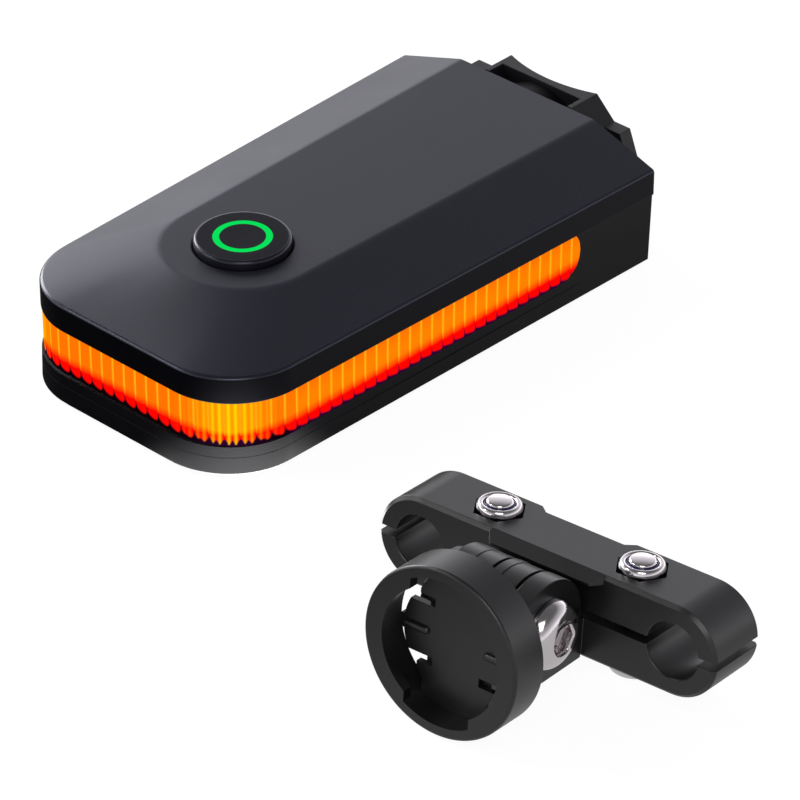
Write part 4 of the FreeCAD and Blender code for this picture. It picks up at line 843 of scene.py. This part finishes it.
# %% Profiles of the clamp bolts, their nuts and the nylon rings
bolt_profile = ([(0.02, -8.02), (1.25, -8.02, 1), (1.25, -9.2, 1), (1.4, -9.32, 1), (1.9, -9.32)]
                + rounded((2.4, -9.32), (3.8, -9.32), (3.8, -7.92), 9)
                + [(3.8, -7.2), (3.72, -7.12), (2.0, -7.12), (2.0, 8.19)]
                + rounded((2.0, 8.24), (1.96, 8.5), (1.66, 8.57), 4) + [(0.02, 8.57)])
nut_profile = ([(2.06, 3.12), (3.3, 3.12, 1), (3.45, 3.3, 1), (3.45, 6.0, 1), (3.36, 6.1, 0.6),
                (3.4, 6.22)]
               + rounded((3.4, 6.95), (3.4, 8.22), (2.8, 8.22), 9)
               + rounded((2.62, 8.2), (2.38, 8.14), (2.35, 7.9), 5) + [(2.35, 6.92), (2.06, 6.92)])
ring_profile = ([(2.06, 6.96), (2.3, 6.96)] + rounded((2.3, 7.85), (2.3, 8.02), (2.18, 8.02), 3)
                + [(2.06, 8.0)])


def pair(profile, closed):
    """The same turned piece on both bolt spots, as grids of points and whether they are closed."""
    loops = turned_loops(profile)
    return [(at_clamp(loops, spot), closed) for spot in BOLT_SPOTS]


def joined_piece(name, grids, material, node, body):
    """Several stacks of loops as one piece."""
    points, faces, start = [], [], 0
    for loops, closed in grids:
        rows, columns = loops.shape[:2]
        faces += stack_faces(rows, columns, closed, start)
        points.append(loops.reshape(-1, 3))
        start += rows * columns
    mesh = mesh_from(name, np.concatenate(points) * MM, faces, 32)
    return add_piece(mesh, material, [node], body)


joined_piece("clamp_bolt_skin", pair(bolt_profile, False), STEEL, "clamp_bolts", "light")
joined_piece("clamp_nut_skin", pair(nut_profile, True), STEEL, "clamp_nuts", "jaw")
joined_piece("insert_skin", pair(ring_profile, True), NYLON, "nut_inserts", "jaw")

# %% Hinge bolt and its nut
DOME = rounded((5.25, 8.1), (4.95, 10.2), (2.5, 10.64), 15)
hinge_profile = ([(0.02, -11.0), (2.6, -11.0), (3.0, -10.6), (3.0, 7.65), (5.15, 7.65),
                  (5.25, 7.75)] + DOME
                 + [(2.4, 10.64, 0.3), (2.06, 10.5, 1), (2.0, 10.4, 1), (2.0, 8.95, 1), (0.02, 8.7)])
hinge_nut_profile = [(3.03, -10.5), (4.6, -10.5), (4.95, -10.1, 1), (4.95, -6.9, 1), (4.8, -6.5, 1),
                     (3.03, -6.5)]


def on_hinge(profile, closed):
    """A turned piece on the hinge's axis, as one grid of points and whether it is closed."""
    return [(at_clamp(lying(turned_loops(profile)), HINGE_SPOT), closed)]


joined_piece("hinge_bolt_skin", on_hinge(hinge_profile, False), STEEL, "hinge_bolt", "light")
joined_piece("hinge_nut_skin", on_hinge(hinge_nut_profile, True), STEEL, "hinge_nut", "light")

# %% [markdown]
# The pieces inside the housing keep their CAD meshes and only get their finish.

# %% Finishes of the hidden pieces
HIDDEN = {"case_gasket": SEAL, "button_seal": SEAL, "led_strip": LAMP, "leds": LAMP,
          "main_board": BOARD, "board_chips": CHIP, "tact_switch": CHIP, "usb_socket": SCREW,
          "battery": CELL, "battery_pad": SEAL, "case_screws": SCREW, "plug_screws": SCREW}
for name, material in HIDDEN.items():
    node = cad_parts[name]
    node.data.materials.clear()
    node.data.materials.append(material)
print("finished inside:", ", ".join(HIDDEN))

# %% [markdown]
# ## Studio
#
# The photograph's background is plain white. The floor looks white to the camera and keeps a
# faint shadow: most of what the camera sees of it is light of its own, and a tenth is the light
# that falls on it. Reflections show a third card, bright to the right of the light and dark to its
# left, as a white table does that a black flag keeps out of one side.

# %% Cards and ramps
def card(tree, grey, glow):
    """A matt card with a little light of its own."""
    shader = tree.nodes.new("ShaderNodeBsdfPrincipled")
    shader.inputs["Base Color"].default_value = (grey, grey, grey, 1)
    shader.inputs["Roughness"].default_value = 0.9
    shader.inputs["Specular IOR Level"].default_value = 0.0
    shader.inputs["Emission Color"].default_value = (1, 1, 1, 1)
    shader.inputs["Emission Strength"].default_value = glow
    return shader


def reflected_ray(tree, share=1.0):
    """A number that is share for reflected and refracted rays and nothing for the others."""
    path = tree.nodes.new("ShaderNodeLightPath")
    both = tree.nodes.new("ShaderNodeMath")
    both.operation = "MAXIMUM"
    scaled = tree.nodes.new("ShaderNodeMath")
    scaled.operation = "MULTIPLY"
    scaled.inputs[1].default_value = share
    tree.links.new(path.outputs["Is Glossy Ray"], both.inputs[0])
    tree.links.new(path.outputs["Is Transmission Ray"], both.inputs[1])
    tree.links.new(both.outputs["Value"], scaled.inputs[0])
    return scaled.outputs["Value"]


def ramp_along(tree, coordinate, direction, start, end):
    """Runs from the first of end to the second as the place moves along a direction."""
    along = tree.nodes.new("ShaderNodeVectorMath")
    along.operation = "DOT_PRODUCT"
    along.inputs[1].default_value = direction
    ramp = tree.nodes.new("ShaderNodeMapRange")
    for name, value in zip(("From Min", "From Max", "To Min", "To Max"), start + end):
        ramp.inputs[name].default_value = value
    place = tree.nodes.new("ShaderNodeTexCoord")
    tree.links.new(place.outputs[coordinate], along.inputs[0])
    tree.links.new(along.outputs["Value"], ramp.inputs["Value"])
    return ramp.outputs["Result"]


def spot_near(tree, middle, reach, peak):
    """A number that falls smoothly from peak at a point to nothing at a distance from it."""
    away = tree.nodes.new("ShaderNodeVectorMath")
    away.operation = "DISTANCE"
    away.inputs[1].default_value = middle
    fall = tree.nodes.new("ShaderNodeMapRange")
    fall.interpolation_type = "SMOOTHSTEP"
    fall.inputs["From Max"].default_value = reach
    fall.inputs["To Min"].default_value = peak
    fall.inputs["To Max"].default_value = 0.0
    place = tree.nodes.new("ShaderNodeTexCoord")
    tree.links.new(place.outputs["Object"], away.inputs[0])
    tree.links.new(away.outputs["Value"], fall.inputs["Value"])
    return fall.outputs["Result"]


def mixed_shader(tree, share, first, second):
    """first where share is 0 and second where it is 1."""
    mix = tree.nodes.new("ShaderNodeMixShader")
    tree.links.new(share, mix.inputs["Fac"])
    tree.links.new(first, mix.inputs[1])
    tree.links.new(second, mix.inputs[2])
    return mix.outputs["Shader"]


# %% Floor
FLOOR_REACH = 3.0
FLOOR_DROP = 0.0002
SEEN_GREY = 0.12
SEEN_GLOW = 0.94
LIT_GREY = 0.85
MIRRORED_GREY = 0.03
FLOOR_DIRECTION = (1, 0.25, 0)
FLOOR_FROM_TO = (-0.01, 0.06)
FLOOR_GLOWS = (0.02, 0.6)
SPOT_MIDDLE = (0.0235, -0.0440, 0)
SPOT_REACH = 0.021
SPOT_PEAK = 10.0


def add_floor():
    """A square floor with three cards: for the camera, for soft light and for reflections."""
    mesh = bpy.data.meshes.new("studio_floor")
    corners = [(x * FLOOR_REACH, y * FLOOR_REACH, 0) for x, y in ((-1, -1), (1, -1), (1, 1), (-1, 1))]
    mesh.from_pydata(corners, [], [(0, 1, 2, 3)])
    floor = bpy.data.objects.new("studio_floor", mesh)
    bpy.context.collection.objects.link(floor)
    floor.location.z = -FLOOR_DROP
    material = bpy.data.materials.new("floor_white")
    material.use_nodes = True
    tree = material.node_tree
    tree.nodes.clear()
    seen = card(tree, SEEN_GREY, SEEN_GLOW)
    lit = card(tree, LIT_GREY, 0.0)
    mirrored = card(tree, MIRRORED_GREY, 0.0)
    glow = tree.nodes.new("ShaderNodeMath")
    glow.operation = "ADD"
    tree.links.new(ramp_along(tree, "Object", FLOOR_DIRECTION, FLOOR_FROM_TO, FLOOR_GLOWS),
                   glow.inputs[0])
    tree.links.new(spot_near(tree, SPOT_MIDDLE, SPOT_REACH, SPOT_PEAK), glow.inputs[1])
    tree.links.new(glow.outputs["Value"], mirrored.inputs["Emission Strength"])
    other = mixed_shader(tree, reflected_ray(tree), lit.outputs["BSDF"], mirrored.outputs["BSDF"])
    camera_ray = tree.nodes.new("ShaderNodeLightPath").outputs["Is Camera Ray"]
    shown = mixed_shader(tree, camera_ray, other, seen.outputs["BSDF"])
    output = tree.nodes.new("ShaderNodeOutputMaterial")
    tree.links.new(shown, output.inputs["Surface"])
    mesh.materials.append(material)
    return floor


floor = add_floor()
print("floor:", floor.name, "at", round(floor.location.z / MM, 1), "mm")

# %% [markdown]
# A black satin object shows its form by what it reflects. The room is bright low down on the far
# left and darker above and on the near side, so the left slope of the cover reflects a light tone,
# the crown a middle one and the right slope a dark one.

# %% World
BRIGHT_SIDE = (-0.9, 0.43, 0.0)
SKY_STRENGTHS = (1.1, 2.8)
SKY_STOPS = ((0.0, 1.0), (0.12, 0.88), (0.3, 0.42), (0.5, 0.25), (0.7, 0.06), (1.0, 0.04))
SKY_COOLNESS = 1.05
WHITE_SHARE = 0.06


def light_world():
    """White to the camera; else grey by the ray's height, times a factor of its direction.

    Reflected and refracted rays get a small share of the white as well.
    """
    world = bpy.data.worlds.new("studio")
    bpy.context.scene.world = world
    world.use_nodes = True
    tree = world.node_tree
    tree.nodes.clear()
    link = tree.links.new
    output = tree.nodes.new("ShaderNodeOutputWorld")
    seen = tree.nodes.new("ShaderNodeBackground")
    seen.inputs["Color"].default_value = (1, 1, 1, 1)
    light = tree.nodes.new("ShaderNodeBackground")
    place = tree.nodes.new("ShaderNodeTexCoord")
    split = tree.nodes.new("ShaderNodeSeparateXYZ")
    ramp = tree.nodes.new("ShaderNodeValToRGB")
    ramp.color_ramp.elements.remove(ramp.color_ramp.elements[1])
    ramp.color_ramp.elements[0].color = (1.0, 1.0, 1.0, 1)
    for position, grey in SKY_STOPS[1:]:
        ramp.color_ramp.elements.new(position).color = (grey, grey, grey * SKY_COOLNESS, 1)
    link(place.outputs["Generated"], split.inputs["Vector"])
    link(split.outputs["Z"], ramp.inputs["Fac"])
    link(ramp.outputs["Color"], light.inputs["Color"])
    link(ramp_along(tree, "Generated", BRIGHT_SIDE, (-1.0, 1.0), SKY_STRENGTHS),
         light.inputs["Strength"])
    sight = tree.nodes.new("ShaderNodeMath")
    sight.operation = "MAXIMUM"
    link(tree.nodes.new("ShaderNodeLightPath").outputs["Is Camera Ray"], sight.inputs[0])
    link(reflected_ray(tree, WHITE_SHARE), sight.inputs[1])
    shown = mixed_shader(tree, sight.outputs["Value"], light.outputs["Background"],
                         seen.outputs["Background"])
    link(shown, output.inputs["Surface"])


light_world()
print("sky:", len(SKY_STOPS), "stops")

# %% Lamps
LAMPS = (("front", (0.9, -0.95, 1.3), 10, 0.9),
         ("side", (-0.95, 0.14, 0.42), 6.5, 0.45),
         ("key", (-0.72, -0.72, 0.85), 2.5, 0.25))
LAMP_TARGET = Vector((0.02, -0.01, 0.01))


def add_lamp(name, place, power, size):
    """A square area lamp that looks at the target, with its power in watts."""
    data = bpy.data.lights.new(name, "AREA")
    data.energy = power
    data.size = size
    lamp = bpy.data.objects.new(name, data)
    bpy.context.collection.objects.link(lamp)
    lamp.location = place
    lamp.rotation_euler = (LAMP_TARGET - Vector(place)).to_track_quat("-Z", "Y").to_euler()
    lamp.visible_camera = False


for settings in LAMPS:
    add_lamp(*settings)
bpy.context.scene.view_settings.view_transform = "Standard"
